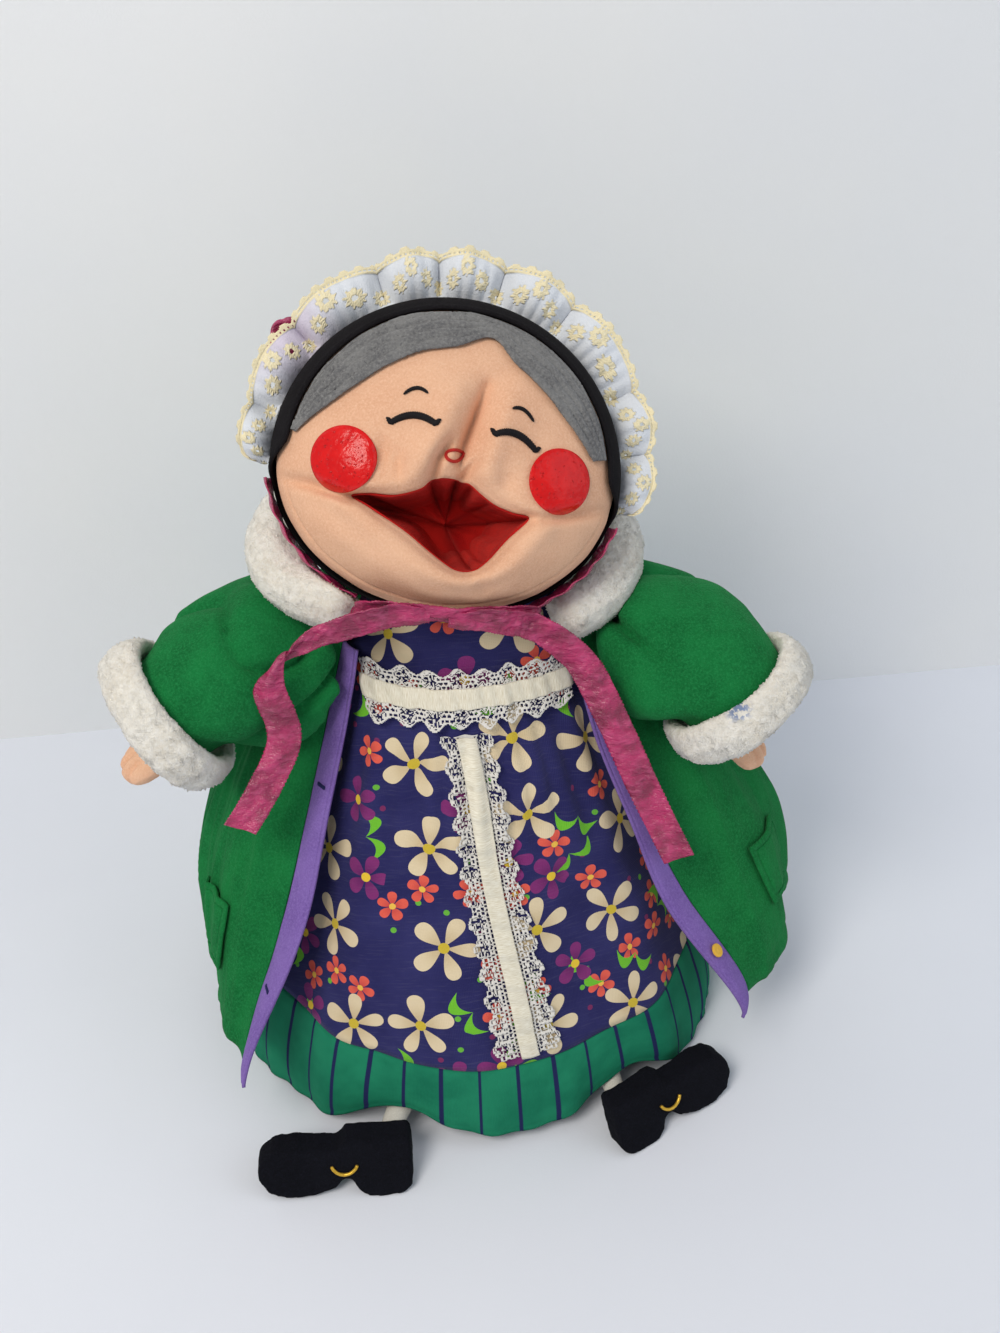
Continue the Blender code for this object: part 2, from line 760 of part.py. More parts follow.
def face_relief(x, z):
    """How far the face stands out of the plain padded form."""
    crease = -CREASE_DEPTH * soft_bump(x, z, 0.007 + 0.25 * z, 0.018, 0.0055, 0.022)
    brow = 0.0025 * (soft_bump(x, z, -0.012, 0.02, 0.009, 0.02) + soft_bump(x, z, 0.024, 0.02, 0.009, 0.02))
    cheeks = 0.0035 * (soft_bump(x, z, -0.042, -0.004, 0.016, 0.018) + soft_bump(x, z, 0.046, -0.004, 0.016, 0.018))
    lip = 0.0045 * soft_bump(x, z, 0.008, -0.047, 0.030, 0.010)
    return crease + brow + cheeks + lip


def head_local(polar, turn, out=0.0):
    """polar 0 is the middle of the face, a right angle the side seam; turn 0 is right, a right angle the crown."""
    half_height = HEAD_CROWN if math.sin(turn) > 0 else HEAD_CHIN
    depth = FACE_DEPTH if polar < math.pi / 2 else BACK_DEPTH
    ring = math.sin(polar)
    x = (HEAD_HALF_WIDTH + out) * ring * math.cos(turn)
    z = (half_height + out) * ring * math.sin(turn)
    relief = face_relief(x, z) * max(0.0, math.cos(polar)) ** 0.5
    return Vector((x, -(depth + out) * math.cos(polar) - relief, z))


def face_local(x, z, out):
    """The point of the face at x and z."""
    half_height = HEAD_CROWN if z > 0 else HEAD_CHIN
    flat = (x / HEAD_HALF_WIDTH) ** 2 + (z / half_height) ** 2
    level = math.sqrt(max(0.0, 1 - flat))
    return Vector((x, -FACE_DEPTH * level - face_relief(x, z) * level**0.5 - out, z))


def mouth_outline(share, inset=0.0):
    """The edge of the mouth as x and z, once round from its left corner over the upper lip."""
    spot = curve_at([(x, z, 0.0) for x, z in MOUTH_OUTLINE], share, closed=True).to_2d()
    inward = Vector(MOUTH_MIDDLE) - spot
    return spot + inward.normalized() * inset


def head_sphere(around, along, out):
    """The padded form of the head as a closed mesh, with its poles at the face and the back."""
    work = bmesh.new()
    bmesh.ops.create_uvsphere(work, u_segments=around, v_segments=along, radius=1.0)
    for vert in work.verts:
        turn = math.atan2(vert.co.y, vert.co.x)
        vert.co = head_local(math.acos(min(max(vert.co.z, -1.0), 1.0)), turn, out)
    face_outward(work)
    return work


def mouth_cutter():
    work = bmesh.new()
    corners = 28
    loop = []
    for index in range(corners):
        spot = mouth_outline(index / corners)
        loop.append(work.verts.new((spot.x, -FACE_DEPTH * 1.5, spot.y)))
    edges = [work.edges.new((loop[i], loop[(i + 1) % corners])) for i in range(corners)]
    face = bmesh.ops.contextual_create(work, geom=edges)["faces"]
    pushed = bmesh.ops.extrude_face_region(work, geom=face)["geom"]
    back = [item for item in pushed if isinstance(item, bmesh.types.BMVert)]
    bmesh.ops.translate(work, verts=back, vec=(0.0, FACE_DEPTH * 1.4, 0.0))
    return add_cutter("mouth cutter", work)


def neck_cutter():
    """A plug a little wider than the neck of the dress and the top of the hand sleeve."""
    foot = DRESS_TOP - 0.040
    room = COTTON + LAYER_GAP

    def place(turn, share):
        closing = min(1.0, share / 0.1, (1 - share) / 0.1)
        part = min(max((share - 0.1) / 0.8, 0.0), 1.0)
        height = blend(foot, SLEEVE_TOP + 0.010, part)
        level = min(height, DRESS_TOP)
        middle = Vector((0.0, dress_ring(level)[2], height))
        rim = dress_point(turn, level, room)
        return middle.lerp(Vector((rim.x, rim.y, height)), closing)

    work = bmesh.new()
    bmesh.ops.create_uvsphere(work, u_segments=28, v_segments=12, radius=1.0)
    for vert in work.verts:
        turn = math.atan2(vert.co.y, vert.co.x)
        vert.co = place(turn, 1 - math.acos(min(max(vert.co.z, -1.0), 1.0)) / math.pi)
    return add_cutter("neck cutter", work)


def head_room_cutter(place):
    """The head with its ribbon straps and a little air, to shape the collar against."""
    room = add_cutter("head room", head_sphere(32, 18, RIBBON_RISE + SATIN + SEWN_GAP * 2))
    room.matrix_local = place
    return room


def build_head(place):
    skin = cloth_material("peach fleece", (0.74, 0.45, 0.30))
    mesh = bpy.data.meshes.new("head_shell")
    work = head_sphere(32, 18, 0.0)
    work.to_mesh(mesh)
    work.free()
    head = add_node("head_shell", mesh, skin)
    head.matrix_local = place
    hollow = add_cutter("head hollow", head_sphere(24, 14, -HEAD_WALL))
    hollow.matrix_local = place
    mouth = mouth_cutter()
    mouth.matrix_local = place
    neck = neck_cutter()
    for cutter in (hollow, mouth, neck):
        cut(head, cutter)
    build_mouth(place)
    build_hair(place)
    build_bonnet(place, neck)
    build_features(place)


def build_mouth(place):
    red = cloth_material("red cotton", (0.55, 0.012, 0.008), 0.7)

    def pocket(u, v):
        rim = mouth_outline(u, MOUTH_SEAM)
        middle = Vector(MOUTH_MIDDLE)
        narrow = 1 - 0.5 * v**2 if v < 0.85 else (1 - 0.5 * 0.85**2) * (1 - v) / 0.15
        spot = middle + (rim - middle) * narrow
        start = face_local(rim.x, rim.y, -0.002)
        end_y = start.y + MOUTH_POCKET_DEPTH * min(v / 0.85, 1.0) ** 0.8
        ripple = 0.0012 * math.sin(7 * 2 * math.pi * u) * v * (1 - v) * 4
        return Vector((spot.x, end_y, spot.y + ripple))

    lining = sheet("mouth_lining", 26, 6, pocket, COTTON, red)
    lining.modifiers["Cloth thickness"].offset = -1.0
    lining.matrix_local = place


def build_hair(place):
    grey = cloth_material("grey brushed fleece", (0.27, 0.27, 0.27))

    def hair(u, v):
        turn = blend(math.radians(172), math.radians(12), u)
        peak = 0.16 * math.exp(-(((turn - math.radians(84)) / 0.32) ** 2))
        inner = HAIR_INNER_POLAR + peak + 0.35 * abs(u * 2 - 1) ** 4
        return head_local(blend(inner, HAIR_OUTER_POLAR, v), turn, HAIR_GAP)

    band = sheet("hair", 32, 3, hair, FELT, grey)
    band.matrix_local = place


def ruffle_point(share, reach, out=0.0):
    """A point of the lace round the bonnet: share from the left ear to the right, reach from its seam to its edge."""
    turn = blend(EAR_TURN_LEFT, EAR_TURN_RIGHT, share)
    seam = head_local(RUFFLE_POLAR, turn, FELT + HEAD_SKIN_GAP + SEWN_GAP * 2)
    away = Vector((seam.x, 0.0, seam.z)).normalized()
    fade = math.sin(math.pi * min(max(share, 0.0), 1.0)) ** 0.35
    wave = math.sin(2 * math.pi * RUFFLE_GATHERS * share + 1.1 * math.sin(5 * share))
    scallop = 1 + 0.10 * abs(math.cos(math.pi * RUFFLE_GATHERS * share)) * reach
    width = RUFFLE_WIDTH * (0.35 + 0.65 * fade) * scallop * reach
    depth = RUFFLE_WAVE * wave * reach**0.8 + 0.004 * reach
    return seam + away * (0.0006 + width) + Vector((0.0, -depth + out, 0.0))


def build_bonnet(place, neck):
    black = cloth_material("black velvet", (0.012, 0.012, 0.014))

    def crown(u, v):
        turn = -2 * math.pi * u
        face_side = CHIN_BARE * max(0.0, 0.3 - math.sin(turn)) ** 0.5
        polar = blend(CROWN_POLAR + face_side, math.pi, v)
        return head_local(polar, turn, HEAD_SKIN_GAP)

    cap = sheet("bonnet_crown", 32, 9, crown, FELT, black)
    cap.matrix_local = place
    cut(cap, neck)
    lace = cloth_material("eyelet lace", (0.86, 0.83, 0.72))
    ruffle = sheet("bonnet_ruffle", 80, 3, ruffle_point, LACE, lace)
    ruffle.matrix_local = place
    pink = cloth_material("pink satin rosette", (0.50, 0.03, 0.14), 0.4)
    spot = ruffle_point(0.20, 0.75)

    def rosette(turn, share):
        petals = 1 + 0.14 * math.cos(5 * turn)
        radius = 0.0085 * math.sin(math.pi * share) * petals
        depth = 0.0042 * math.cos(math.pi * share)
        return spot + Vector((radius * math.cos(turn), 0.0066 - depth, radius * math.sin(turn)))

    flower = stuffed("bonnet_rosette", 20, 8, rosette, pink)
    flower.matrix_local = place


def build_features(place):
    red = cloth_material("red vinyl", (0.62, 0.01, 0.01), 0.25)
    for name, (x, z) in (("cheek_left", LEFT_CHEEK), ("cheek_right", RIGHT_CHEEK)):

        def cheek(u, v, x=x, z=z):
            turn = -2 * math.pi * u
            radius = CHEEK_RADIUS * v
            return face_local(x + radius * math.cos(turn), z + radius * math.sin(turn), 0.0009)

        patch = sheet(name, 16, 2, cheek, CHEEK_THICKNESS, red)
        patch.matrix_local = place
    black = cloth_material("black thread", (0.01, 0.01, 0.012), 0.6)
    rise = STITCH_RADIUS + 0.0006
    for name, x, z, half, arch, tilt in (
        ("eye_left", -0.018, 0.0155, 0.0105, 0.0042, 0.10),
        ("eye_right", 0.0255, 0.0150, 0.0105, 0.0042, -0.10),
        ("brow_left", -0.0185, 0.0305, 0.0050, 0.0020, 0.15),
        ("brow_right", 0.0275, 0.0300, 0.0050, 0.0020, -0.15),
    ):
        points = []
        for step in range(9):
            along = step / 4 - 1
            points.append(
                face_local(x + half * along, z + arch * (1 - along**2) + tilt * half * along, rise)
            )
        cord_piece(name, points, STITCH_RADIUS, black).matrix_local = place
    thread = cloth_material("red thread", (0.5, 0.05, 0.04), 0.6)
    points = []
    for step in range(12):
        turn = 2 * math.pi * step / 12
        points.append(face_local(0.0030 * math.cos(turn), 0.0045 + 0.0026 * math.sin(turn), rise))
    cord_piece("nose", points, STITCH_RADIUS * 0.7, thread, closed=True).matrix_local = place


# Ribbon

def ribbon_piece(name, path, across, columns, material, width=RIBBON_WIDTH):
    def place(u, v):
        return curve_at(path, u) + curve_at(across, u).normalized() * (v - 0.5) * width

    return sheet(name, columns, 1, place, SATIN, material)


def build_ribbon(place):
    pink = cloth_material("pink satin", (0.48, 0.03, 0.13), 0.35)
    for name, first, last in (
        ("ribbon_strap_left", math.radians(190), math.radians(245)),
        ("ribbon_strap_right", math.radians(-12), math.radians(-60)),
    ):

        def strap(u, v, first=first, last=last):
            half = RIBBON_WIDTH / 2 / BACK_DEPTH * 0.8
            return head_local(STRAP_POLAR + (v * 2 - 1) * half, blend(first, last, u), RIBBON_RISE)

        sheet(name, 10, 1, strap, SATIN, pink).matrix_local = place
    ribbon_piece(
        "ribbon_bow",
        (
            Vector((-0.0567, -0.0150, 0.2544)),
            Vector((-0.0530, -0.0245, 0.2615)),
            Vector((-0.0400, -0.0310, 0.2635)),
            Vector((-0.0140, -0.0320, 0.2570)),
            Vector((0.0100, -0.0320, 0.2545)),
            Vector((0.0225, -0.0290, 0.2515)),
            Vector((0.0230, -0.0240, 0.2460)),
        ),
        (Vector((0.0, -0.35, 0.94)),) * 2,
        16,
        pink,
        BOW_WIDTH,
    )
    ribbon_piece(
        "ribbon_tail_left",
        (
            Vector((-0.0260, -0.0340, 0.2590)),
            Vector((-0.0430, -0.0345, 0.2615)),
            Vector((-0.0680, -0.0305, 0.2550)),
            Vector((-0.0880, -0.0270, 0.2440)),
            Vector((-0.0970, -0.0270, 0.2290)),
            Vector((-0.0925, -0.0290, 0.2020)),
            Vector((-0.1040, -0.0340, 0.1790)),
            Vector((-0.1170, -0.0400, 0.1620)),
        ),
        (
            Vector((0.10, -0.30, 1.0)),
            Vector((0.15, -0.30, 1.0)),
            Vector((0.30, -0.15, 1.0)),
            Vector((0.55, -0.10, 0.9)),
            Vector((0.95, -0.10, 0.4)),
            Vector((1.00, -0.15, -0.1)),
            Vector((0.95, -0.15, -0.4)),
            Vector((0.95, -0.15, -0.4)),
        ),
        22,
        pink,
    )
    ribbon_piece(
        "ribbon_tail_right",
        (
            Vector((-0.0180, -0.0335, 0.2560)),
            Vector((0.0060, -0.0335, 0.2530)),
            Vector((0.0240, -0.0320, 0.2450)),
            Vector((0.0420, -0.0340, 0.2270)),
            Vector((0.0550, -0.0400, 0.2010)),
            Vector((0.0720, -0.0500, 0.1600)),
            Vector((0.0870, -0.0620, 0.1260)),
        ),
        (
            Vector((0.05, -0.30, 1.0)),
            Vector((0.10, -0.30, 1.0)),
            Vector((0.40, -0.20, 1.0)),
            Vector((0.80, -0.10, 0.7)),
            Vector((1.00, -0.15, 0.3)),
            Vector((1.00, -0.15, 0.35)),
            Vector((1.00, -0.15, 0.35)),
        ),
        20,
        pink,
    )


# Boots

def boot_outline():
    """The side of a felt boot, toe along +x and shaft up, as x and y of a closed outline."""
    return (
        (0.002, 0.001),
        (0.008, 0.000),
        (0.018, 0.000),
        (0.0235, 0.003),
        (0.0265, 0.009),
        (0.0305, 0.0095),
        (0.034, 0.0055),
        (0.044, 0.002),
        (0.056, 0.001),
        (0.066, 0.004),
        (0.071, 0.011),
        (0.0705, 0.018),
        (0.064, 0.023),
        (0.054, 0.0245),
        (0.042, 0.0235),
        (0.034, 0.023),
        (0.0295, BOOT_SHAFT),
        (-0.001, BOOT_SHAFT),
        (-0.002, 0.016),
        (-0.002, 0.004),
    )


def build_boots():
    cotton = cloth_material("stocking cotton", (0.60, 0.57, 0.52))
    navy = cloth_material("navy felt", (0.010, 0.011, 0.020))
    gold = cloth_material("gold buckle", (0.70, 0.46, 0.08), 0.35, 0.6)
    for name, heel, heading in (
        ("left", LEFT_HEEL, LEFT_TOE_HEADING),
        ("right", RIGHT_HEEL, RIGHT_TOE_HEADING),
    ):
        along = Vector((math.cos(heading), math.sin(heading), 0.0))
        back = Vector((-math.sin(heading), math.cos(heading), 0.0))
        if back.y < 0:
            back = -back

        def place(x, deep, z):
            lift = z * math.cos(math.atan(BOOT_LEAN))
            return heel + along * x + back * (deep + lift * BOOT_LEAN) + Vector((0.0, 0.0, lift))

        work = bmesh.new()
        loop = [work.verts.new((x, 0.0, z)) for x, z in boot_outline()]
        count = len(loop)
        edges = [work.edges.new((loop[i], loop[(i + 1) % count])) for i in range(count)]
        face = bmesh.ops.contextual_create(work, geom=edges)["faces"]
        pushed = bmesh.ops.extrude_face_region(work, geom=face)["geom"]
        far = [item for item in pushed if isinstance(item, bmesh.types.BMVert)]
        bmesh.ops.translate(work, verts=far, vec=(0.0, BOOT_THICKNESS, 0.0))
        for vert in work.verts:
            vert.co = place(vert.co.x, vert.co.y, vert.co.z)
        face_outward(work)
        mesh = bpy.data.meshes.new("boot_" + name)
        work.to_mesh(mesh)
        work.free()
        boot = add_node("boot_" + name, mesh, navy, smooth=False)
        rounding = boot.modifiers.new("Pressed edge", "BEVEL")
        rounding.width = 0.0016
        rounding.segments = 2
        rounding.limit_method = "ANGLE"
        rounding.angle_limit = math.radians(50)

        points = []
        for step in range(9):
            turn = math.radians(200 + 140 * step / 8)
            points.append(place(0.030 + 0.0065 * math.cos(turn), -0.0014, 0.020 + 0.0065 * math.sin(turn)))
        cord_piece("buckle_" + name, points, 0.0009, gold)
        ankle = place(0.013, BOOT_THICKNESS + LEG_RADIUS * 0.46, LEG_RADIUS * 1.4)
        side = -1 if heel.x < 0 else 1
        wall = COTTON * 1.5 + LEG_RADIUS * 0.8
        hip = sleeve_point(side * BOOT_TURN, LEG_TOP, wall)
        leg_axis = (hip - ankle).normalized()
        leg_forward, leg_upward = ring_axes(leg_axis)

        def leg_place(turn, share):
            fat = LEG_RADIUS * math.sin(math.pi * share) ** 0.5
            ring = leg_forward * math.cos(turn) + leg_upward * math.sin(turn)
            return blend(ankle, hip, (1 - math.cos(math.pi * share)) / 2) + ring * fat

        stuffed("leg_" + name, 10, 8, leg_place, cotton)


clear_scene()
doll = new_collection("grandmother puppet")
cutters = new_collection("cutters")
doll_origin = bpy.data.objects.new("doll_origin", None)
doll_origin.location = CENTRE_SHIFT
doll.objects.link(doll_origin)
head_place = head_frame()
build_body()
build_lace()
build_coat()
build_button()
coat_form = coat_envelope()
build_arms(coat_form, collar_room_cutter())
build_collar(coat_form, head_room_cutter(head_place))
build_head(head_place)
build_ribbon(head_place)
build_boots()
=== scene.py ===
import math
import bmesh
import bpy
from mathutils import Matrix, Vector, noise
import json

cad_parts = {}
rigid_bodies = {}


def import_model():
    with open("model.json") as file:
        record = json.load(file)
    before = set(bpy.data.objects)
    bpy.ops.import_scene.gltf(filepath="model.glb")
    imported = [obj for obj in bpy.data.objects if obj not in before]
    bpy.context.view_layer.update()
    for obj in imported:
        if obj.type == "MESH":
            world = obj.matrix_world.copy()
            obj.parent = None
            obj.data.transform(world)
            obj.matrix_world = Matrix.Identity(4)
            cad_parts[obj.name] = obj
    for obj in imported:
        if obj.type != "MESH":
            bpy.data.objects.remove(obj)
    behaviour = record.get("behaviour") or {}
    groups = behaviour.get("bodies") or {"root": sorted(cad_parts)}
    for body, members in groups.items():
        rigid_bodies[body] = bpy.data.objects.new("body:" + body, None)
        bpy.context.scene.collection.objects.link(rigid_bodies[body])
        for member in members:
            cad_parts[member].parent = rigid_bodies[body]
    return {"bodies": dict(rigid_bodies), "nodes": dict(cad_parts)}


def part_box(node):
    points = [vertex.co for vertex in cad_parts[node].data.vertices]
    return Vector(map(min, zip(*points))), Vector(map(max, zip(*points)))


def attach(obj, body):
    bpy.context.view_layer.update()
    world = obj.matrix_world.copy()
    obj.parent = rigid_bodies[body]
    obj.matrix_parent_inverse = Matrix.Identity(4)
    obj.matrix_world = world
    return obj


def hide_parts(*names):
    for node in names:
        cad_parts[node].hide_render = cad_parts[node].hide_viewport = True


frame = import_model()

plushSeed = 7
noise.seed_set(plushSeed)  # else the tufts lean another way in each run

scene = bpy.context.scene
kept = set(frame["nodes"].values()) | set(frame["bodies"].values())
for old in list(bpy.data.objects):
    if old not in kept:
        bpy.data.objects.remove(old, do_unlink=True)
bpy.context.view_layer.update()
print("Frame loaded:", len(frame["nodes"]), "solids")

# Small helpers: shapes

centreShift = Vector((-0.000216, 0.004284, 0.0))
bodyPlace = Matrix.Translation(centreShift)
layers = {
    "sewn": 0.0004, "cotton": 0.0010, "fleece": 0.0018, "felt": 0.0016, "satin": 0.0006, "lace": 0.0009,
    "gap": 0.0012,
}
sameSpot = 0.00001  # points nearer than this are one


def blend(first, second, share):
    return first + (second - first) * share


def limit(value, low=0.0, high=1.0):
    return min(max(value, low), high)


def ease(share):
    share = limit(share)
    return share * share * (3 - 2 * share)


def bell(distance, spread):
    return math.exp(-((distance / spread) ** 2))


def fullTurn(share):
    return 2 * math.pi * (share - 0.5)


def curveAt(points, share, closed=False):  # a smooth line through the points
    count = len(points)
    spans = count if closed else count - 1
    index = min(int(share * spans), spans - 1)
    part = share * spans - index
    places = range(index - 1, index + 3)
    if closed:
        before, first, second, after = (Vector(points[place % count]) for place in places)
    else:
        before, first, second, after = (Vector(points[min(max(place, 0), spans)]) for place in places)
    return (
        first * 2
        + (second - before) * part
        + (before * 2 - first * 5 + second * 4 - after) * part**2
        + (first * 3 - before - second * 3 + after) * part**3
    ) * 0.5


def lineDistance(x, z, points):  # how far x, z is from a bent line, and the share along it
    best = (1.0, 0.0)
    spans = len(points) - 1
    for index in range(spans):
        ax, az = points[index]
        bx, bz = points[index + 1]
        lengthSquared = (bx - ax) ** 2 + (bz - az) ** 2
        part = limit(((x - ax) * (bx - ax) + (z - az) * (bz - az)) / lengthSquared)
        away = math.hypot(x - ax - part * (bx - ax), z - az - part * (bz - az))
        if away < best[0]:
            best = (away, (index + part) / spans)
    return best


def addPiece(name, mesh, material):
    mesh.materials.clear()
    mesh.materials.append(material)
    mesh.shade_smooth()
    piece = bpy.data.objects.new(name, mesh)
    scene.collection.objects.link(piece)
    return piece


def pieceFrom(work, name, material):
    mesh = bpy.data.meshes.new(name)
    work.to_mesh(mesh)
    work.free()
    return addPiece(name, mesh, material)


def keepPiece(piece, node):
    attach(piece, "root")
    if node:
        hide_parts(node)
    return piece


def clothSheet(
    name, cut, place, material, wall, at=bodyPlace, side=1.0, hole=None, mark=None, mapping=None
):
    work = bmesh.new()
    cloth = work.loops.layers.uv.new("cloth")
    marked = work.verts.layers.float.new("mark") if mark else None
    bmesh.ops.create_grid(work, x_segments=cut["columns"], y_segments=cut["rows"], size=0.5)
    if hole:
        spare = [
            f for f in work.faces if hole(f.calc_center_median().x + 0.5, f.calc_center_median().y + 0.5)
        ]
        bmesh.ops.delete(work, geom=spare, context="FACES")
    width, length = cut["flat"]
    for face in work.faces:
        for loop in face.loops:
            u, v = loop.vert.co.x + 0.5, loop.vert.co.y + 0.5
            loop[cloth].uv = mapping(u, v) if mapping else (u * width, v * length)
    for vert in work.verts:
        u, v = vert.co.x + 0.5, vert.co.y + 0.5
        if mark:
            vert[marked] = mark(u, v)
        vert.co = at @ place(u, v)
    bmesh.ops.remove_doubles(work, verts=work.verts, dist=sameSpot)
    piece = pieceFrom(work, name, material)
    thickness = piece.modifiers.new("Cloth thickness", "SOLIDIFY")
    thickness.thickness = wall
    thickness.offset = side
    thickness.use_even_offset = False
    return piece


def cutOf(place, steps=24):  # a laid sheet's flat width, length and area, measured over its own places
    net = [[place(i / steps, j / steps) for i in range(steps + 1)] for j in range(steps + 1)]
    across = [(second - first).length for row in net for first, second in zip(row, row[1:])]
    along = [(second - first).length for low, high in zip(net, net[1:]) for first, second in zip(low, high)]
    area = 0.0
    for low, high in zip(net, net[1:]):
        for a, b, c, d in zip(low, low[1:], high[1:], high):
            area += ((b - a).cross(d - a).length + (b - c).cross(d - c).length) / 2
    width, length = sum(across) / (steps + 1), sum(along) / (steps + 1)
    # a cut is never more than its rectangle
    return {"flat": (width, length), "area": min(area, width * length)}


# prints a laid sheet's cut size in mm and its area in cm2; no side may be said to be
# under 10 mm, so a narrower strip says that
def declareSheet(piece, cut):
    flat = tuple(max(side, 0.010) for side in cut["flat"])
    print(
        piece.name, "cut in mm:", [round(side * 1000, 1) for side in cut["flat"]], "area in cm2:",
        round(cut["area"] * 10000, 1)
    )


def applied(piece):  # the piece's mesh with its modifiers made real
    graph = bpy.context.evaluated_depsgraph_get()
    mesh = bpy.data.meshes.new_from_object(piece.evaluated_get(graph))
    piece.modifiers.clear()
    piece.data = mesh
    return piece


def softCopy(node, name, material, voxel, smoothing=4):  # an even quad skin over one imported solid
    mesh = frame["nodes"][node].data.copy()
    work = bmesh.new()
    work.from_mesh(mesh)
    bmesh.ops.remove_doubles(work, verts=work.verts, dist=sameSpot)
    work.to_mesh(mesh)
    work.free()
    mesh.name = name
    piece = addPiece(name, mesh, material)
    skin = piece.modifiers.new("Even skin", "REMESH")
    skin.mode = "VOXEL"
    skin.voxel_size = voxel
    skin.use_smooth_shade = True
    soften = piece.modifiers.new("Soften", "SMOOTH")
    soften.factor = 0.5
    soften.iterations = smoothing
    applied(piece)
    piece.data.shade_smooth()
    return piece


def pushOut(piece, rise):  # moves each vertex along its normal
    mesh = piece.data
    moves = [(vert.normal.copy(), rise(vert.co)) for vert in mesh.vertices]
    for vert, (normal, amount) in zip(mesh.vertices, moves):
        vert.co += normal * amount
    mesh.update()


def swell(piece, air):  # blows a closed skin up a little with the cloth solver, no further than the cap
    start = [vert.co.copy() for vert in piece.data.vertices]
    cloth = piece.modifiers.new("Cloth", "CLOTH")
    cloth.settings.use_pressure = True
    cloth.settings.uniform_pressure_force = air["pressure"]
    cloth.settings.shrink_min = air["spare"]
    cloth.settings.quality = 5
    cloth.settings.effector_weights.gravity = 0.0
    cloth.point_cache.frame_start = 1
    cloth.point_cache.frame_end = air["frames"]
    for step in range(1, air["frames"] + 1):
        scene.frame_set(step)
    applied(piece)
    scene.frame_set(1)
    farthest = 0.0
    for vert, first in zip(piece.data.vertices, start):
        move = vert.co - first
        farthest = max(farthest, move.length)
        if move.length > air["cap"]:
            vert.co = first + move.normalized() * air["cap"]
    piece.data.update()
    print(piece.name, "swelled; farthest move before the cap in mm:", round(farthest * 1000, 2))


def tufted(piece, pile):  # raises a small leaning tuft on every face
    work = bmesh.new()
    work.from_mesh(piece.data)
    tips = bmesh.ops.poke(work, faces=work.faces)["verts"]
    work.normal_update()
    for tip in tips:
        lean = noise.noise_vector(tip.co * pile["swirl"]) * pile["lean"]
        height = pile["height"] * (0.55 + 0.9 * abs(noise.noise(tip.co * pile["grain"])))
        tip.co += tip.normal * height + lean * height
    work.to_mesh(piece.data)
    work.free()
    piece.data.shade_smooth()


# Small helpers: materials

def tone(red, green, blue):  # a colour as a screen shows it, 0 to 255, to the renderer's own scale
    parts = [value / 255 for value in (red, green, blue)]
    return (*[p / 12.92 if p <= 0.04045 else ((p + 0.055) / 1.055) ** 2.4 for p in parts], 1.0)


def put(tree, kind, inputs=None, **settings):
    node = tree.nodes.new(kind)
    for key, value in settings.items():
        setattr(node, key, value)
    for key, value in (inputs or {}).items():
        if isinstance(value, bpy.types.NodeSocket):
            tree.links.new(value, node.inputs[key])
        else:
            node.inputs[key].default_value = value
    return node


def calc(tree, operation, first, second=0.0):
    return put(tree, "ShaderNodeMath", {0: first, 1: second}, operation=operation).outputs[0]


def times(tree, first, second):
    return calc(tree, "MULTIPLY", first, second)


def plus(tree, first, second):
    return calc(tree, "ADD", first, second)


def minus(tree, first, second):
    return calc(tree, "SUBTRACT", first, second)


def smooth(tree, value, low, high):
    inputs = {"Value": value, "From Min": low, "From Max": high}
    return put(tree, "ShaderNodeMapRange", inputs, interpolation_type="SMOOTHSTEP").outputs["Result"]


def mixTone(tree, share, first, second):
    return put(tree, "ShaderNodeMix", {0: share, 6: first, 7: second}, data_type="RGBA").outputs[2]


def objectPlace(tree):
    return put(tree, "ShaderNodeTexCoord").outputs["Object"]


def noiseAt(tree, spot, size, detail=3.0, rough=0.6):
    inputs = {"Vector": spot, "Scale": 1 / size, "Detail": detail, "Roughness": rough}
    return put(tree, "ShaderNodeTexNoise", inputs).outputs["Fac"]


def stretched(tree, spot, amounts):
    return put(tree, "ShaderNodeMapping", {"Vector": spot, "Scale": amounts}).outputs["Vector"]


def startMaterial(name, look):
    material = bpy.data.materials.new(name)
    material.use_nodes = True
    tree = material.node_tree
    shader = tree.nodes["Principled BSDF"]
    shader.inputs["Roughness"].default_value = look.get("roughness", 0.9)
    shader.inputs["Specular IOR Level"].default_value = 0.12
    for socket, value in look.get("sockets", {}).items():
        shader.inputs[socket].default_value = value
    material.diffuse_color = look.get("colour", (0.8, 0.8, 0.8, 1.0))
    return material, tree, shader


def finishMaterial(tree, shader, colour, height=None, depth=0.0002, strength=1.0):
    tree.links.new(colour, shader.inputs["Base Color"])
    if height is not None:
        bump = put(tree, "ShaderNodeBump", {"Height": height, "Distance": depth, "Strength": strength})
        tree.links.new(bump.outputs["Normal"], shader.inputs["Normal"])


def napCloth(name, look):  # fleece, felt, plush and velvet: soft nap over uneven colour
    material, tree, shader = startMaterial(name, look)
    spot = objectPlace(tree)
    wide = noiseAt(tree, spot, look.get("patch", 0.03))
    nap = noiseAt(tree, spot, look["nap"], 4.0, 0.7)
    fibre = noiseAt(tree, stretched(tree, spot, look.get("comb", (1.0, 1.0, 1.0))), look["fibre"], 2.0)
    colour = mixTone(tree, smooth(tree, wide, 0.3, 0.7), look["dark"], look["colour"])
    colour = mixTone(tree, smooth(tree, nap, 0.35, 0.8), colour, look["light"])
    if "speck" in look:
        speck = times(tree, smooth(tree, fibre, 0.60, 0.72), look.get("speckShare", 0.5))
        colour = mixTone(tree, speck, colour, look["speck"])
    height = plus(tree, nap, times(tree, fibre, 0.6))
    finishMaterial(tree, shader, colour, height, look.get("depth", 0.0004))
    return material, tree, shader, colour


finePitch = 0.0007  # from thread to thread of fine cotton


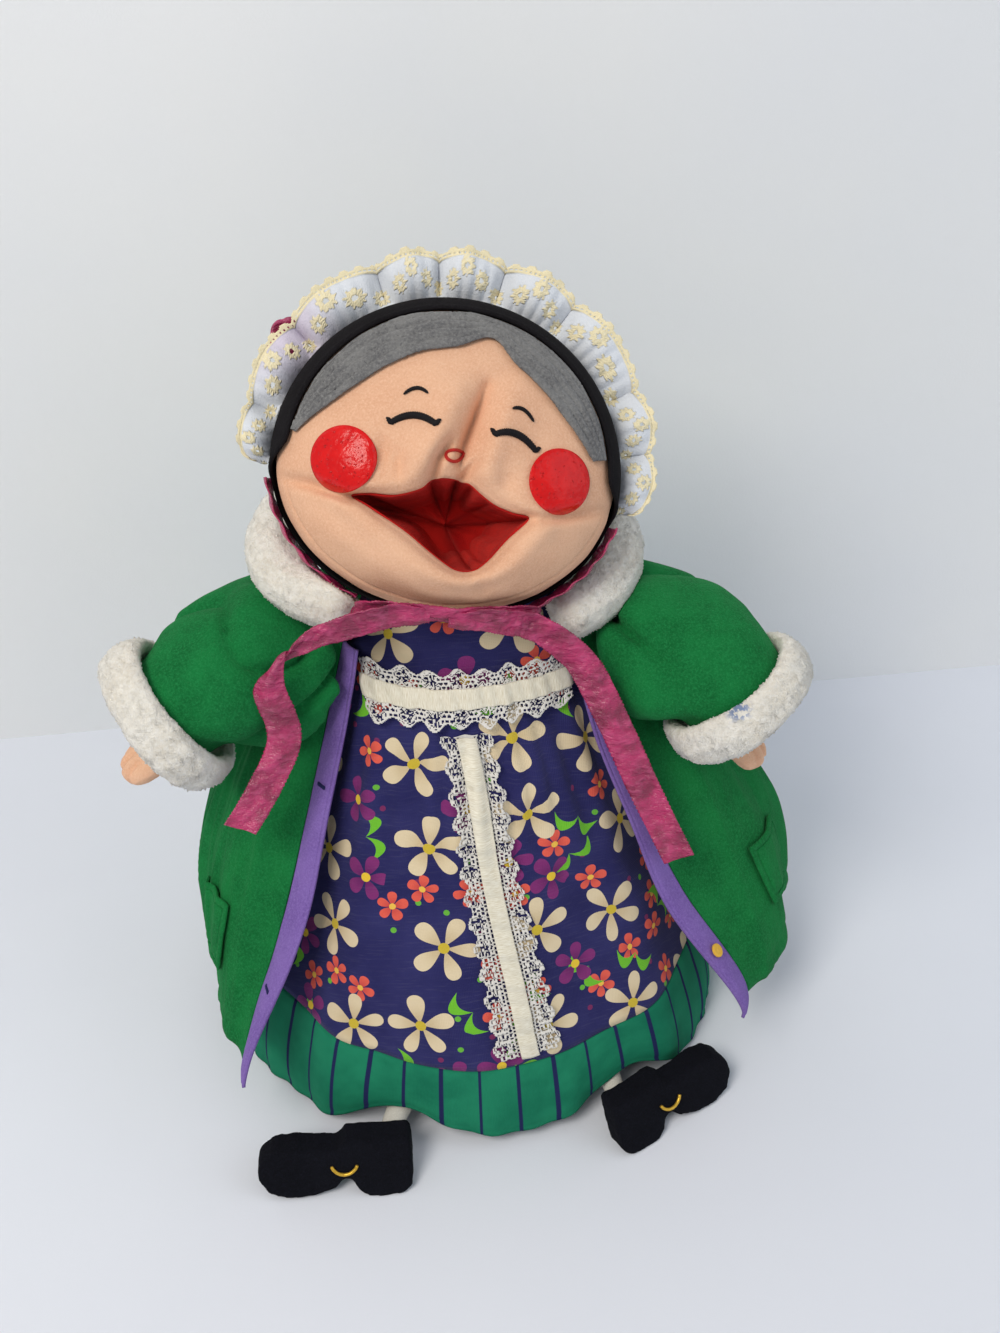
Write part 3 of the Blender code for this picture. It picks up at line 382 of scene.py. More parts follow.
def weaveOf(tree, place, pitch):
    threads = []
    for direction in ("X", "Y"):
        inputs = {
            "Vector": place, "Scale": 2 * math.pi / 20 / pitch, "Distortion": 0.4, "Detail Scale": 2.0
        }
        threads.append(put(tree, "ShaderNodeTexWave", inputs, bands_direction=direction).outputs["Fac"])
    return plus(tree, threads[0], threads[1])


def clothPlace(tree):
    return put(tree, "ShaderNodeUVMap", uv_map="cloth").outputs["UV"]


def wovenCloth(name, look):  # plain cotton with a fine weave and slubs
    material, tree, shader = startMaterial(name, look)
    place = clothPlace(tree)
    slub = noiseAt(tree, stretched(tree, place, (1.0, 12.0, 1.0)), 0.02)
    wide = noiseAt(tree, place, 0.04)
    colour = mixTone(tree, smooth(tree, wide, 0.3, 0.7), look["dark"], look["colour"])
    colour = mixTone(tree, times(tree, smooth(tree, slub, 0.45, 0.75), 0.5), colour, look["light"])
    finishMaterial(tree, shader, colour, weaveOf(tree, place, look["pitch"]), 0.0001, 0.7)
    return material


# Camera, light and floor

view = {
    "target": Vector((0.012, 0.0, 0.207)) + centreShift,
    "azimuth": math.radians(-12),
    "elevation": math.radians(33),
    "distance": 0.62,
    "sensor": 24,
    "lens": 1300 / 1333 * 24,
}


def addCamera():
    data = bpy.data.cameras.new("camera")
    data.sensor_width = view["sensor"]
    data.lens = view["lens"]
    data.clip_start = 0.01
    camera = bpy.data.objects.new("camera", data)
    scene.collection.objects.link(camera)
    flat = math.cos(view["elevation"])
    back = Vector(
        (math.sin(view["azimuth"]) * flat, -math.cos(view["azimuth"]) * flat, math.sin(view["elevation"]))
    )
    camera.location = view["target"] + back * view["distance"]
    camera.rotation_mode = "QUATERNION"
    camera.rotation_quaternion = (-back).to_track_quat("-Z", "Y")
    scene.camera = camera


studio = {
    "lamps": (
        ("window light", (-0.9, -0.9, 1.5), 0.75, 20.0, (1.0, 0.95, 0.87)),
        ("soft fill", (1.3, -0.7, 0.9), 1.3, 4.5, (0.84, 0.92, 1.0)),
        ("back glow", (0.3, 1.0, 1.3), 1.0, 4.0, (0.95, 0.97, 1.0)),
    ),
    "sky": 0.42,
    "skyColour": (0.93, 0.96, 1.0, 1.0),
    "aim": Vector((0.0, 0.0, 0.15)),
    "floor": tone(232, 235, 243),
    "floorShade": tone(224, 228, 238),
    "floorHalf": 6.0,
    "drape": tone(240, 240, 238),
    "drapeShade": tone(228, 231, 238),
    "drapeFolds": ((0.006, 17, 2, 1), (0.004, 39, 5, 2)),
    "drapeFoot": (Vector((-0.80, 0.345, 0.0)), Vector((1.00, 0.192, 0.0))),
    "drapeHeight": 1.3,
}


def addStudio():
    scene.view_settings.view_transform = "Standard"
    for name, place, size, power, colour in studio["lamps"]:
        lamp = bpy.data.lights.new(name, "AREA")
        lamp.size = size
        lamp.energy = power
        lamp.color = colour
        holder = bpy.data.objects.new(name, lamp)
        holder.location = place
        holder.rotation_mode = "QUATERNION"
        holder.rotation_quaternion = (studio["aim"] - Vector(place)).to_track_quat("-Z", "Y")
        scene.collection.objects.link(holder)
    world = bpy.data.worlds.new("plain light")
    world.use_nodes = True
    ground = world.node_tree.nodes["Background"]
    ground.inputs["Color"].default_value = studio["skyColour"]
    ground.inputs["Strength"].default_value = studio["sky"]
    scene.world = world
    look = {"roughness": 0.85, "colour": studio["floor"]}
    material, tree, shader = startMaterial("pale floor", look)
    spot = objectPlace(tree)
    colour = mixTone(tree, noiseAt(tree, spot, 0.25), studio["floor"], studio["floorShade"])
    finishMaterial(tree, shader, colour, noiseAt(tree, spot, 0.002), 0.00005)
    work = bmesh.new()
    bmesh.ops.create_grid(work, x_segments=4, y_segments=4, size=studio["floorHalf"])
    pieceFrom(work, "floor", material)
    addDrape()


def addDrape():  # a pale cloth hung behind, seen only from its front
    material, tree, shader = startMaterial("pale drape", {"roughness": 0.95, "colour": studio["drape"]})
    spot = objectPlace(tree)
    colour = mixTone(tree, noiseAt(tree, spot, 0.3), studio["drape"], studio["drapeShade"])
    finishMaterial(tree, shader, colour, noiseAt(tree, spot, 0.0015), 0.0001)
    clear = put(tree, "ShaderNodeBsdfTransparent").outputs[0]
    behind = put(tree, "ShaderNodeNewGeometry").outputs["Backfacing"]
    both = put(tree, "ShaderNodeMixShader", {0: behind, 1: shader.outputs[0], 2: clear})
    tree.links.new(both.outputs[0], tree.nodes["Material Output"].inputs["Surface"])
    left, right = studio["drapeFoot"]
    work = bmesh.new()
    bmesh.ops.create_grid(work, x_segments=160, y_segments=40, size=0.5)
    for vert in work.verts:
        u, v = vert.co.x + 0.5, vert.co.y + 0.5
        fold = sum(
            deep * math.sin(often * u + lean * v**bend) for deep, often, lean, bend in studio["drapeFolds"]
        )
        vert.co = blend(left, right, u) + Vector((0.0, fold * (0.4 + v), studio["drapeHeight"] * v))
    pieceFrom(work, "drape", material)


# Body layers

tube = {
    "foot": 0.006, "top": 0.291, "footWidth": 0.080, "footDepth": 0.066, "topWidth": 0.029,
    "topDepth": 0.022,
    "footY": -0.006, "topY": 0.046, "columns": 80, "rows": 36, "flat": (0.46, 0.285), "area": 0.094,
    "crumple": 0.0012,
}
skirt = {
    "top": 0.268, "halfWidth": 0.133, "halfDepth": 0.110, "swell": 0.045, "tuck": 0.05, "tuckHeight": 0.035,
    "fold": 0.0042, "bandSide": 0.053, "bandDrop": 0.012, "rest": 0.0003, "frontLift": 0.007,
    "bootLift": 0.016,
    "bootTurn": math.radians(29), "bootSpread": math.radians(13), "gather": 0.0012, "gatherHeight": 0.162,
    "gatherSpread": 0.032, "soft": 0.0026, "apex": 0.341,
    "slope": 0.942, "unroll": 0.3355, "columns": 220, "rows": 80, "flat": (0.78, 0.235), "area": 0.118,
}


def tubePoint(turn, height, out=0.0):
    share = (height - tube["foot"]) / (tube["top"] - tube["foot"])
    halfWidth = blend(tube["footWidth"], tube["topWidth"], share) + out
    halfDepth = blend(tube["footDepth"], tube["topDepth"], share) + out
    middle = blend(tube["footY"], tube["topY"], height / tube["top"])
    return Vector((halfWidth * math.sin(turn), middle - halfDepth * math.cos(turn), height))


neckOut = layers["cotton"] * 1.5 + layers["sewn"]
neckWidth = tubePoint(math.pi / 2, skirt["top"], neckOut).x
neckDepth = blend(
    tube["footY"], tube["topY"], skirt["top"] / tube["top"]
) - tubePoint(0.0, skirt["top"], neckOut).y


def skirtRing(height):
    share = height / skirt["top"]
    middle = blend(tube["footY"], tube["topY"], height / tube["top"])
    tuck = skirt["tuck"] * max(0.0, 1 - height / skirt["tuckHeight"]) ** 2
    grow = 1 + skirt["swell"] * math.sin(math.pi * min(share, 1.0)) - tuck
    return blend(
        skirt["halfWidth"], neckWidth, share
    ) * grow, blend(skirt["halfDepth"], neckDepth, share) * grow, middle


def skirtFold(turn, height):
    depth = skirt["fold"] * max(0.0, 1 - height / skirt["top"]) ** 1.2
    waves = math.cos(9 * turn + 0.4) + 0.6 * math.cos(5 * turn + 2.1) + 0.4 * math.cos(14 * turn + 4.0)
    return depth * waves / 2


# Creases of the dress front: the line followed across and up, how far out it stands, and its width
skirtCreases = (
    (((0.020, 0.165), (0.050, 0.115), (0.085, 0.080)), 0.0048, 0.011),
    (((0.036, 0.120), (0.070, 0.070), (0.095, 0.062)), -0.0056, 0.008),
    (((-0.075, 0.140), (-0.082, 0.080), (-0.070, 0.045)), -0.0058, 0.012),
    (((0.030, 0.190), (0.046, 0.150), (0.050, 0.110), (0.072, 0.085)), -0.0036, 0.007),
)


def skirtDetail(turn, height):  # small gathers below the chest lace and the creases that the front shows
    gathers = skirt["gather"] * math.sin(38 * turn + 3 * math.sin(4 * turn)) * bell(
        height - skirt["gatherHeight"], skirt["gatherSpread"]
    )
    front = bell(turn, 0.75)
    across = skirtRing(height)[0] * math.sin(turn)
    soft = skirt["soft"] * noise.noise(Vector((across * 34, height * 24, 1.7)))
    folds = sum(
        depth * bell(lineDistance(across, height, line)[0], width) for line, depth, width in skirtCreases
    )
    return gathers + front * folds + soft * front


def skirtPoint(turn, height, out=0.0, detail=False):
    halfWidth, halfDepth, middle = skirtRing(height)
    reach = skirtFold(turn, height) + out
    if detail:
        reach += skirtDetail(turn, height)
    return Vector(
        ((halfWidth + reach) * math.sin(turn), middle - (halfDepth + reach) * math.cos(turn), height)
    )


def clearOfSkirt(spot, room):
    halfWidth, halfDepth, middle = skirtRing(spot.z)
    turn = math.atan2(spot.x / halfWidth, (middle - spot.y) / halfDepth)
    reach = skirtFold(turn, spot.z) + room
    ratio = math.hypot(spot.x / (halfWidth + reach), (spot.y - middle) / (halfDepth + reach))
    if ratio >= 1:
        return spot
    return Vector((spot.x / ratio, middle + (spot.y - middle) / ratio, spot.z))


def skirtFront(across, height, out):
    turn = math.asin(limit(across / skirtRing(height)[0], -0.98, 0.98))
    return skirtPoint(turn, height, out, True)


def hemHeight(turn):
    near = 0.0
    for side in (-1, 1):
        near += bell(turn - side * skirt["bootTurn"], skirt["bootSpread"])
    front = max(0.0, math.cos(turn)) ** 2
    return skirt["rest"] + skirt["frontLift"] * front + skirt["bootLift"] * near


def bandTop(turn):
    return skirt["bandSide"] - skirt["bandDrop"] * max(0.0, math.cos(turn)) ** 2


def unrolled(turn, height):  # the cloth's own flat place, as a cone is cut
    reach = (skirt["apex"] - height) / skirt["slope"]
    return (reach * math.sin(turn * skirt["unroll"]), -reach * math.cos(turn * skirt["unroll"]))


flowerBeds = {
    "cream": {
        "cell": 0.0440, "scatter": 0.45, "shift": (0.0, 0.0, 0.0), "reach": 0.0150, "over": (), "room": 0.9,
        "waist": 0.05, "taper": 0.28,
              "petal": tone(224, 206, 172), "shade": tone(205, 184, 146), "eye": tone(205, 180, 60),
              "eyeReach": 0.0024},
    "plum": {
        "cell": 0.0300, "scatter": 0.55, "shift": (0.311, 0.173, 0.0), "reach": 0.0105, "over": ("cream",),
        "room": 0.86, "waist": 0.12, "taper": 0.26,
             "petal": tone(128, 48, 112), "shade": tone(104, 38, 98), "eye": tone(232, 196, 60),
             "eyeReach": 0.0021},
    "coral": {
        "cell": 0.0178, "scatter": 0.60, "shift": (0.727, 0.419, 0.0), "reach": 0.0068,
        "over": ("cream", "plum"), "room": 0.86, "waist": 0.14, "taper": 0.26,
              "petal": tone(226, 96, 80), "shade": tone(205, 78, 72), "eye": tone(236, 190, 80),
              "eyeReach": 0.0014},
    "leaf": {
        "cell": 0.0270, "scatter": 0.60, "shift": (0.137, 0.643, 0.0), "reach": 0.0115, "over": ("cream",),
        "room": 0.72, "petal": tone(112, 190, 52),
    },
    "dot": {
        "cell": 0.0115, "scatter": 0.80, "shift": (0.467, 0.291, 0.0), "reach": 0.0013,
        "over": ("cream", "plum"), "room": 0.95, "petal": tone(104, 178, 62),
    },
}


def bedCells(tree, place, bed):
    inputs = {"Vector": place, "Scale": 1 / bed["cell"], "Randomness": bed["scatter"]}
    return put(tree, "ShaderNodeTexVoronoi", inputs, voronoi_dimensions="2D", feature="F1")


def shifted(tree, place, amounts, operation="ADD"):
    return put(tree, "ShaderNodeVectorMath", {0: place, 1: amounts}, operation=operation).outputs["Vector"]


def distanceTo(tree, place, middle):
    offset = shifted(tree, place, middle, "SUBTRACT")
    return put(tree, "ShaderNodeVectorMath", {0: offset}, operation="LENGTH").outputs["Value"]


def roomFor(tree, flat, bed, others):  # 1 where no earlier flower that is really printed comes too near
    free = plus(tree, 1.0, 0.0)
    for name in others:
        other = flowerBeds[name]
        cells = bedCells(tree, shifted(tree, flat, other["shift"]), other)
        away = times(tree, cells.outputs["Distance"], other["cell"])
        near = calc(tree, "LESS_THAN", away, (other["reach"] + bed["reach"]) * bed["room"])
        if other["over"]:
            there = shifted(tree, cells.outputs["Position"], other["shift"], "SUBTRACT")
            near = times(tree, near, roomFor(tree, there, other, other["over"]))
        free = times(tree, free, minus(tree, 1.0, near))
    return free


# the nearest middle: x, y and reach from it, its chance, and if it has room
def bedPlace(tree, place, bed):
    here = shifted(tree, place, bed["shift"])
    cells = bedCells(tree, here, bed)
    middle = cells.outputs["Position"]
    away = shifted(tree, here, middle, "SUBTRACT")
    parts = put(tree, "ShaderNodeSeparateXYZ", {0: away})
    chance = put(tree, "ShaderNodeSeparateColor", {0: cells.outputs["Color"]})
    free = roomFor(tree, shifted(tree, middle, bed["shift"], "SUBTRACT"), bed, bed["over"])
    reach = times(tree, cells.outputs["Distance"], bed["cell"])
    return parts.outputs["X"], parts.outputs["Y"], reach, chance.outputs[0], free


def printFlower(tree, place, bed, under):
    x, y, reach, chance, free = bedPlace(tree, place, bed)
    fifth = 2 * math.pi / 5
    angle = plus(tree, calc(tree, "ARCTAN2", y, x), times(tree, chance, 6.3))
    uneven = times(tree, calc(tree, "SINE", plus(tree, angle, chance)), 0.12)
    local = minus(tree, calc(tree, "FLOORED_MODULO", plus(tree, angle, uneven), fifth), fifth / 2)
    share = calc(tree, "DIVIDE", reach, bed["reach"])
    along = times(tree, share, calc(tree, "COSINE", local))
    side = times(tree, share, calc(tree, "SINE", local))
    width = plus(tree, times(tree, along, bed["taper"]), bed["waist"])
    first = calc(tree, "DIVIDE", minus(tree, along, 0.56), 0.44)
    second = calc(tree, "DIVIDE", side, width)
    form = plus(tree, times(tree, first, first), times(tree, second, second))
    petals = times(tree, calc(tree, "LESS_THAN", form, 1.0), free)
    petal = mixTone(tree, smooth(tree, share, 0.15, 0.8), bed["shade"], bed["petal"])
    colour = mixTone(tree, petals, under, petal)
    eye = times(tree, calc(tree, "LESS_THAN", reach, bed["eyeReach"]), free)
    return mixTone(tree, eye, colour, bed["eye"])


def printLeaf(tree, place, bed, under):  # a pair of curved leaves that meet at a point
    x, y, reach, chance, free = bedPlace(tree, place, bed)
    spin = times(tree, chance, 6.3)
    angle = plus(tree, calc(tree, "ARCTAN2", y, x), spin)
    across = calc(
        tree, "DIVIDE", calc(tree, "ABSOLUTE", times(tree, reach, calc(tree, "COSINE", angle))),
        bed["reach"],
    )
    rise = calc(tree, "DIVIDE", times(tree, reach, calc(tree, "SINE", angle)), bed["reach"])
    arch = times(tree, times(tree, across, minus(tree, 1.0, across)), 1.9)
    bend = minus(tree, rise, minus(tree, arch, 0.15))
    leaf = calc(tree, "LESS_THAN", calc(tree, "ABSOLUTE", bend), times(tree, arch, 0.42))
    picked = calc(tree, "GREATER_THAN", calc(tree, "FRACT", times(tree, chance, 7.0)), 0.35)
    return mixTone(tree, times(tree, times(tree, leaf, picked), free), under, bed["petal"])


def printDots(tree, place, bed, under):
    _, _, reach, chance, free = bedPlace(tree, place, bed)
    picked = calc(tree, "GREATER_THAN", chance, 0.55)
    dot = times(tree, calc(tree, "LESS_THAN", reach, bed["reach"]), times(tree, picked, free))
    other = calc(tree, "GREATER_THAN", chance, 0.78)
    return mixTone(tree, dot, under, mixTone(tree, other, bed["petal"], tone(122, 46, 92)))


def flowerCotton():
    look = {"roughness": 0.88, "sockets": {"Sheen Weight": 0.08}, "colour": tone(46, 44, 104)}
    material, tree, shader = startMaterial("flowered cotton", look)
    place = clothPlace(tree)
    worn = smooth(tree, noiseAt(tree, place, 0.03), 0.3, 0.75)
    colour = mixTone(tree, worn, tone(38, 38, 88), tone(50, 50, 102))
    beds = flowerBeds
    colour = printDots(tree, place, beds["dot"], colour)
    colour = printFlower(tree, place, beds["coral"], colour)
    colour = printLeaf(tree, place, beds["leaf"], colour)
    colour = printFlower(tree, place, beds["plum"], colour)
    colour = printFlower(tree, place, beds["cream"], colour)
    slub = noiseAt(tree, stretched(tree, place, (1.0, 14.0, 1.0)), 0.012)
    colour = mixTone(tree, times(tree, smooth(tree, slub, 0.5, 0.8), 0.05), colour, tone(190, 186, 200))
    finishMaterial(tree, shader, colour, weaveOf(tree, place, finePitch), 0.00012, 0.6)
    return material


stripes = {"pitch": 0.0190, "half": 0.036, "uneven": 0.035}  # the last two are shares of the pitch


def stripedCotton():
    look = {"roughness": 0.9, "colour": tone(26, 122, 90)}
    material, tree, shader = startMaterial("striped cotton", look)
    place = clothPlace(tree)
    along = put(tree, "ShaderNodeSeparateXYZ", {0: place}).outputs["X"]
    cell = calc(tree, "DIVIDE", along, stripes["pitch"])
    inCell = calc(tree, "ABSOLUTE", minus(tree, calc(tree, "FRACT", cell), 0.5))
    wide = times(tree, calc(tree, "FRACT", times(tree, calc(tree, "FLOOR", cell), 0.37)), stripes["uneven"])
    stripe = calc(tree, "LESS_THAN", inCell, plus(tree, wide, stripes["half"]))
    ground = mixTone(
        tree, smooth(tree, noiseAt(tree, place, 0.03), 0.3, 0.7), tone(22, 112, 84), tone(34, 132, 98)
    )
    colour = mixTone(tree, stripe, ground, tone(34, 40, 84))
    finishMaterial(tree, shader, colour, weaveOf(tree, place, finePitch), 0.00012, 0.6)
    return material


def makeBody():
    cream = wovenCloth(
        "plain cotton",
        {
            "pitch": 0.0009, "colour": tone(206, 202, 192), "dark": tone(190, 186, 174),
            "light": tone(220, 217, 208),
        },
    )

    def tubePlace(u, v):
        turn, height = fullTurn(u), blend(tube["foot"], tube["top"], v)
        crumple = tube["crumple"] * noise.noise(
            Vector((math.sin(turn) * 3, math.cos(turn) * 3, height * 30))
        )
        return tubePoint(turn, height, min(crumple, 0.0))

    piece = clothSheet("handSleeve", tube, tubePlace, cream, layers["cotton"] * 1.5)
    keepPiece(piece, "hand_sleeve")

    def dressPlace(u, v):
        turn = fullTurn(u)
        return skirtPoint(turn, blend(bandTop(turn) + layers["sewn"], skirt["top"], v), 0.0, True)

    def dressMap(u, v):
        turn = fullTurn(u)
        return unrolled(turn, blend(bandTop(turn), skirt["top"], v))

    piece = clothSheet("flowerDress", skirt, dressPlace, flowerCotton(), layers["cotton"], mapping=dressMap)
    keepPiece(piece, "dress")
    band = {
        "columns": 260, "rows": 22, "flat": (0.78, 0.05), "seam": 0.0009, "hemRoll": 0.0006,
        "ripple": 0.0012,
    }

    def bandPlace(u, v):
        turn = fullTurn(u)
        seam = band["seam"] * ease((v - 0.93) / 0.07) + band["hemRoll"] * bell(v - 0.06, 0.05)
        ripple = band["ripple"] * math.sin(31 * turn + 2 * math.sin(5 * turn)) * (1 - v)
        return skirtPoint(turn, blend(hemHeight(turn), bandTop(turn), v), ripple * 0.6 - seam, True)

    piece = clothSheet("hemBand", band, bandPlace, stripedCotton(), layers["cotton"])
    keepPiece(piece, "hem_band")
    print("Body layers made")


# Lace and satin on the dress front

trim = {
    "footX": 0.0060, "headX": -0.0100, "foot": 0.047, "halfFoot": 0.0155, "halfHead": 0.0105,
    "chestLow": 0.192, "chestHigh": 0.219, "chestLeft": -0.050, "chestRight": 0.040, "satinWidth": 0.0085,
    "seam": 0.0026, "scallop": 0.0112, "wall": 0.0004,
}
net = {
    "scallopDeep": 0.0030, "cord": 0.0007, "sewn": 0.0010, "flowerIn": 0.0044, "flower": 0.0037,
    "petal": 0.0026, "petalWave": 0.0009, "ring": 0.0006, "pitch": 0.0019, "hole": 0.00068,
}
laceOut = layers["cotton"] + layers["gap"]
satinOut = laceOut + layers["lace"] + layers["sewn"] * 2
chestOut = satinOut + layers["sewn"] * 2


# along the strip and away from its middle, in metres: true where the lace is open
def laceHole(along, away, half):
    phase = along / trim["scallop"]
    near = (phase - math.floor(phase) - 0.5) * trim["scallop"]
    edge = half - net["scallopDeep"] * (1 - math.cos(2 * math.pi * phase + math.pi)) / 2
    away = abs(away)
    if away > edge:
        return True
    if away > edge - net["cord"] or away < trim["satinWidth"] / 2 - net["sewn"]:
        return False
    middle = edge - net["flowerIn"]
    reach = math.hypot(near, away - middle)
    angle = math.atan2(away - middle, near)
    if reach < net["flower"]:
        petals = net["petal"] + net["petalWave"] * math.cos(5 * angle)
        return net["cord"] < reach < petals - net["cord"] or petals < reach < petals + net["ring"]
    row = math.floor(away / net["pitch"])
    inNet = ((along / net["pitch"] + 0.5 * (row % 2)) % 1.0 - 0.5) * net["pitch"]
    upNet = (away / net["pitch"] - row - 0.5) * net["pitch"]
    return math.hypot(inNet, upNet) < net["hole"]


def makeLace():
    look = {"roughness": 0.8, "sockets": {"Sheen Weight": 0.2}, "colour": tone(232, 229, 222)}
    lace, tree, shader = startMaterial("white lace", look)
    spot = objectPlace(tree)
    thread = noiseAt(tree, spot, 0.0006, 3.0)
    colour = mixTone(tree, thread, tone(206, 202, 196), tone(242, 240, 235))
    finishMaterial(tree, shader, colour, thread, 0.0003)
    sheen = {
        "roughness": 0.32, "sockets": {"Sheen Weight": 0.3, "Specular IOR Level": 0.6},
        "colour": tone(234, 228, 208),
    }
    satin, tree, shader = startMaterial("cream satin", sheen)
    place = clothPlace(tree)
    streak = noiseAt(tree, stretched(tree, place, (1.0, 14.0, 1.0)), 0.004)
    colour = mixTone(tree, smooth(tree, streak, 0.3, 0.7), tone(214, 204, 178), tone(244, 240, 224))
    finishMaterial(tree, shader, colour, streak, 0.00025)

    def frontMiddle(share):
        return blend(trim["footX"], trim["headX"], share**0.8) + 0.0006 * math.sin(9 * share)

    high = trim["chestLow"] - trim["seam"]
    length = high - trim["foot"]
    front = {"columns": 62, "rows": 240}

    def frontHalf(v):
        return blend(trim["halfFoot"], trim["halfHead"], v) + 0.0012

    def frontPlace(u, v):
        away = (u * 2 - 1) * frontHalf(v)
        reach = abs(u * 2 - 1)
        ripple = 0.0009 * math.sin(210 * v * length / 0.05 * 0.6) * reach + 0.0012 * reach**2
        return skirtFront(frontMiddle(v) + away, blend(trim["foot"], high, v), laceOut + ripple)

    def frontHole(u, v):
        return laceHole(v * length, (u * 2 - 1) * frontHalf(v), frontHalf(v))

    front.update(cutOf(frontPlace))
    piece = clothSheet("laceFront", front, frontPlace, lace, trim["wall"], hole=frontHole)
    keepPiece(piece, "lace_front")
    declareSheet(piece, front)
    strip = {"columns": 14, "rows": 160}

    def satinFront(u, v):
        ripple = 0.0005 * math.sin(58 * v) + 0.0003 * math.sin(131 * v + 2 * u) + 0.0003 * math.cos(
            math.pi * (u - 0.5)
        )
        across = frontMiddle(v) + (u - 0.5) * trim["satinWidth"]
        return skirtFront(across, blend(trim["foot"], high, v), satinOut + ripple)

    strip.update(cutOf(satinFront))
    piece = clothSheet("satinFront", strip, satinFront, satin, layers["satin"])
    keepPiece(piece, "satin_front")
    declareSheet(piece, strip)
    chest = {"columns": 180, "rows": 56}
    chestMiddle = (trim["chestLow"] + trim["chestHigh"]) / 2
    chestHalf = (trim["chestHigh"] - trim["chestLow"]) / 2 - 0.0010

    def chestPlace(u, v):
        across = blend(trim["chestLeft"], trim["chestRight"], u)
        away = v * 2 - 1
        ripple = 0.0011 * math.sin(
            2 * math.pi * across / trim["scallop"] * 0.5 + 1
        ) * abs(away) + 0.0014 * away**2
        return skirtFront(across, chestMiddle + away * chestHalf, chestOut + ripple)

    def chestHole(u, v):
        return laceHole(u * (trim["chestRight"] - trim["chestLeft"]), (v * 2 - 1) * chestHalf, chestHalf)

    chest.update(cutOf(chestPlace))
    piece = clothSheet("laceChest", chest, chestPlace, lace, trim["wall"], hole=chestHole)
    keepPiece(piece, "lace_chest")
    declareSheet(piece, chest)
    strip = {"columns": 120, "rows": 14}

    def satinChest(u, v):
        across = blend(trim["chestLeft"], trim["chestRight"], u)
        ripple = 0.0004 * math.sin(41 * u) + 0.0003 * math.sin(97 * u + 2 * v) + 0.0003 * math.cos(
            math.pi * (v - 0.5)
        )
        return skirtFront(
            across, chestMiddle + (v - 0.5) * trim["satinWidth"], chestOut + layers["lace"] + ripple
        )

    strip.update(cutOf(satinChest))
    length, width = strip["flat"]

    def satinMap(u, v):  # the streaks run along the strip
        return (v * width, u * length)

    piece = clothSheet("satinChest", strip, satinChest, satin, layers["satin"], mapping=satinMap)
    keepPiece(piece, "satin_chest")
    declareSheet(piece, strip)
    print("Lace and satin made")


# Coat

coat = {
    "hem": 0.045, "top": 0.254, "sideShare": 0.5, "fold": 0.0045, "facingWidth": 0.015, "facingRoll": 0.006,
    "facingRoom": 0.0070, "facingDrop": 0.031, "facingSeam": 0.0004, "facingWave": 0.0006,
    "hemWave": 0.004, "hemRoll": 0.0008, "hemRollAt": 0.035, "hemRollSpread": 0.012, "ridge": 0.0013,
    "second": 0.0004,
    "hang": 0.0034,
    "left": (
        (0.045, -0.128, -0.070, -0.135, 0.012, 0.121),
        (0.100, -0.104, -0.042, -0.135, 0.020, 0.119),
        (0.150, -0.085, -0.018, -0.118, 0.026, 0.112),
        (0.200, -0.068, 0.004, -0.090, 0.034, 0.102),
        (0.235, -0.056, 0.016, -0.067, 0.038, 0.091),
        (0.254, -0.042, 0.022, -0.049, 0.042, 0.081),
    ),
    "right": (
        (0.045, 0.124, -0.076, 0.165, 0.000, 0.121),
        (0.100, 0.092, -0.052, 0.158, 0.008, 0.119),
        (0.150, 0.072, -0.034, 0.128, 0.020, 0.112),
        (0.200, 0.055, -0.010, 0.091, 0.032, 0.102),
        (0.235, 0.045, 0.006, 0.068, 0.038, 0.091),
        (0.254, 0.034, 0.018, 0.049, 0.042, 0.081),
    ),
}
pocket = {
    "size": 0.030, "low": 0.074, "share": 0.66, "span": 0.16, "columns": 40, "rows": 40, "wall": 0.0016,
    "puff": 0.0009, "stitch": 0.0008, "welt": 0.0007}
rowMemory = {}


def coatRow(side, height):  # the coat's sizes at a height, kept once worked out
    key = (side, round(height, 5))
    if key not in rowMemory:
        rows = coat["left"] if side < 0 else coat["right"]
        index = 0
        while index < len(rows) - 2 and height > rows[index + 1][0]:
            index += 1
        part = limit((height - rows[index][0]) / (rows[index + 1][0] - rows[index][0]))
        values = []
        for column in range(1, 6):
            line = [(position, row[column], 0.0) for position, row in enumerate(rows)]
            values.append(curveAt(line, (index + part) / (len(rows) - 1)).y)
        rowMemory[key] = values
    return rowMemory[key]


def coatOutline(side, share, height):
    edgeX, edgeY, sideX, sideY, backY = coatRow(side, height)
    if share < coat["sideShare"]:
        swing = share / coat["sideShare"] * math.pi / 2
        return Vector((sideX * math.sin(swing), sideY + (backY - sideY) * math.cos(swing), height))
    part = (share - coat["sideShare"]) / (1 - coat["sideShare"])
    cornerY = blend(sideY, edgeY, 0.6)
    across = (1 - part) ** 2 * sideX + 2 * part * (1 - part) * sideX + part**2 * edgeX
    along = (1 - part) ** 2 * sideY + 2 * part * (1 - part) * cornerY + part**2 * edgeY
    return Vector((across, along, height))


def coatOutward(side, share, height):
    along = coatOutline(
        side, min(share + 0.01, 1.0), height
    ) - coatOutline(side, max(share - 0.01, 0.0), height)
    return Vector((-along.y, along.x, 0.0)).normalized() * side


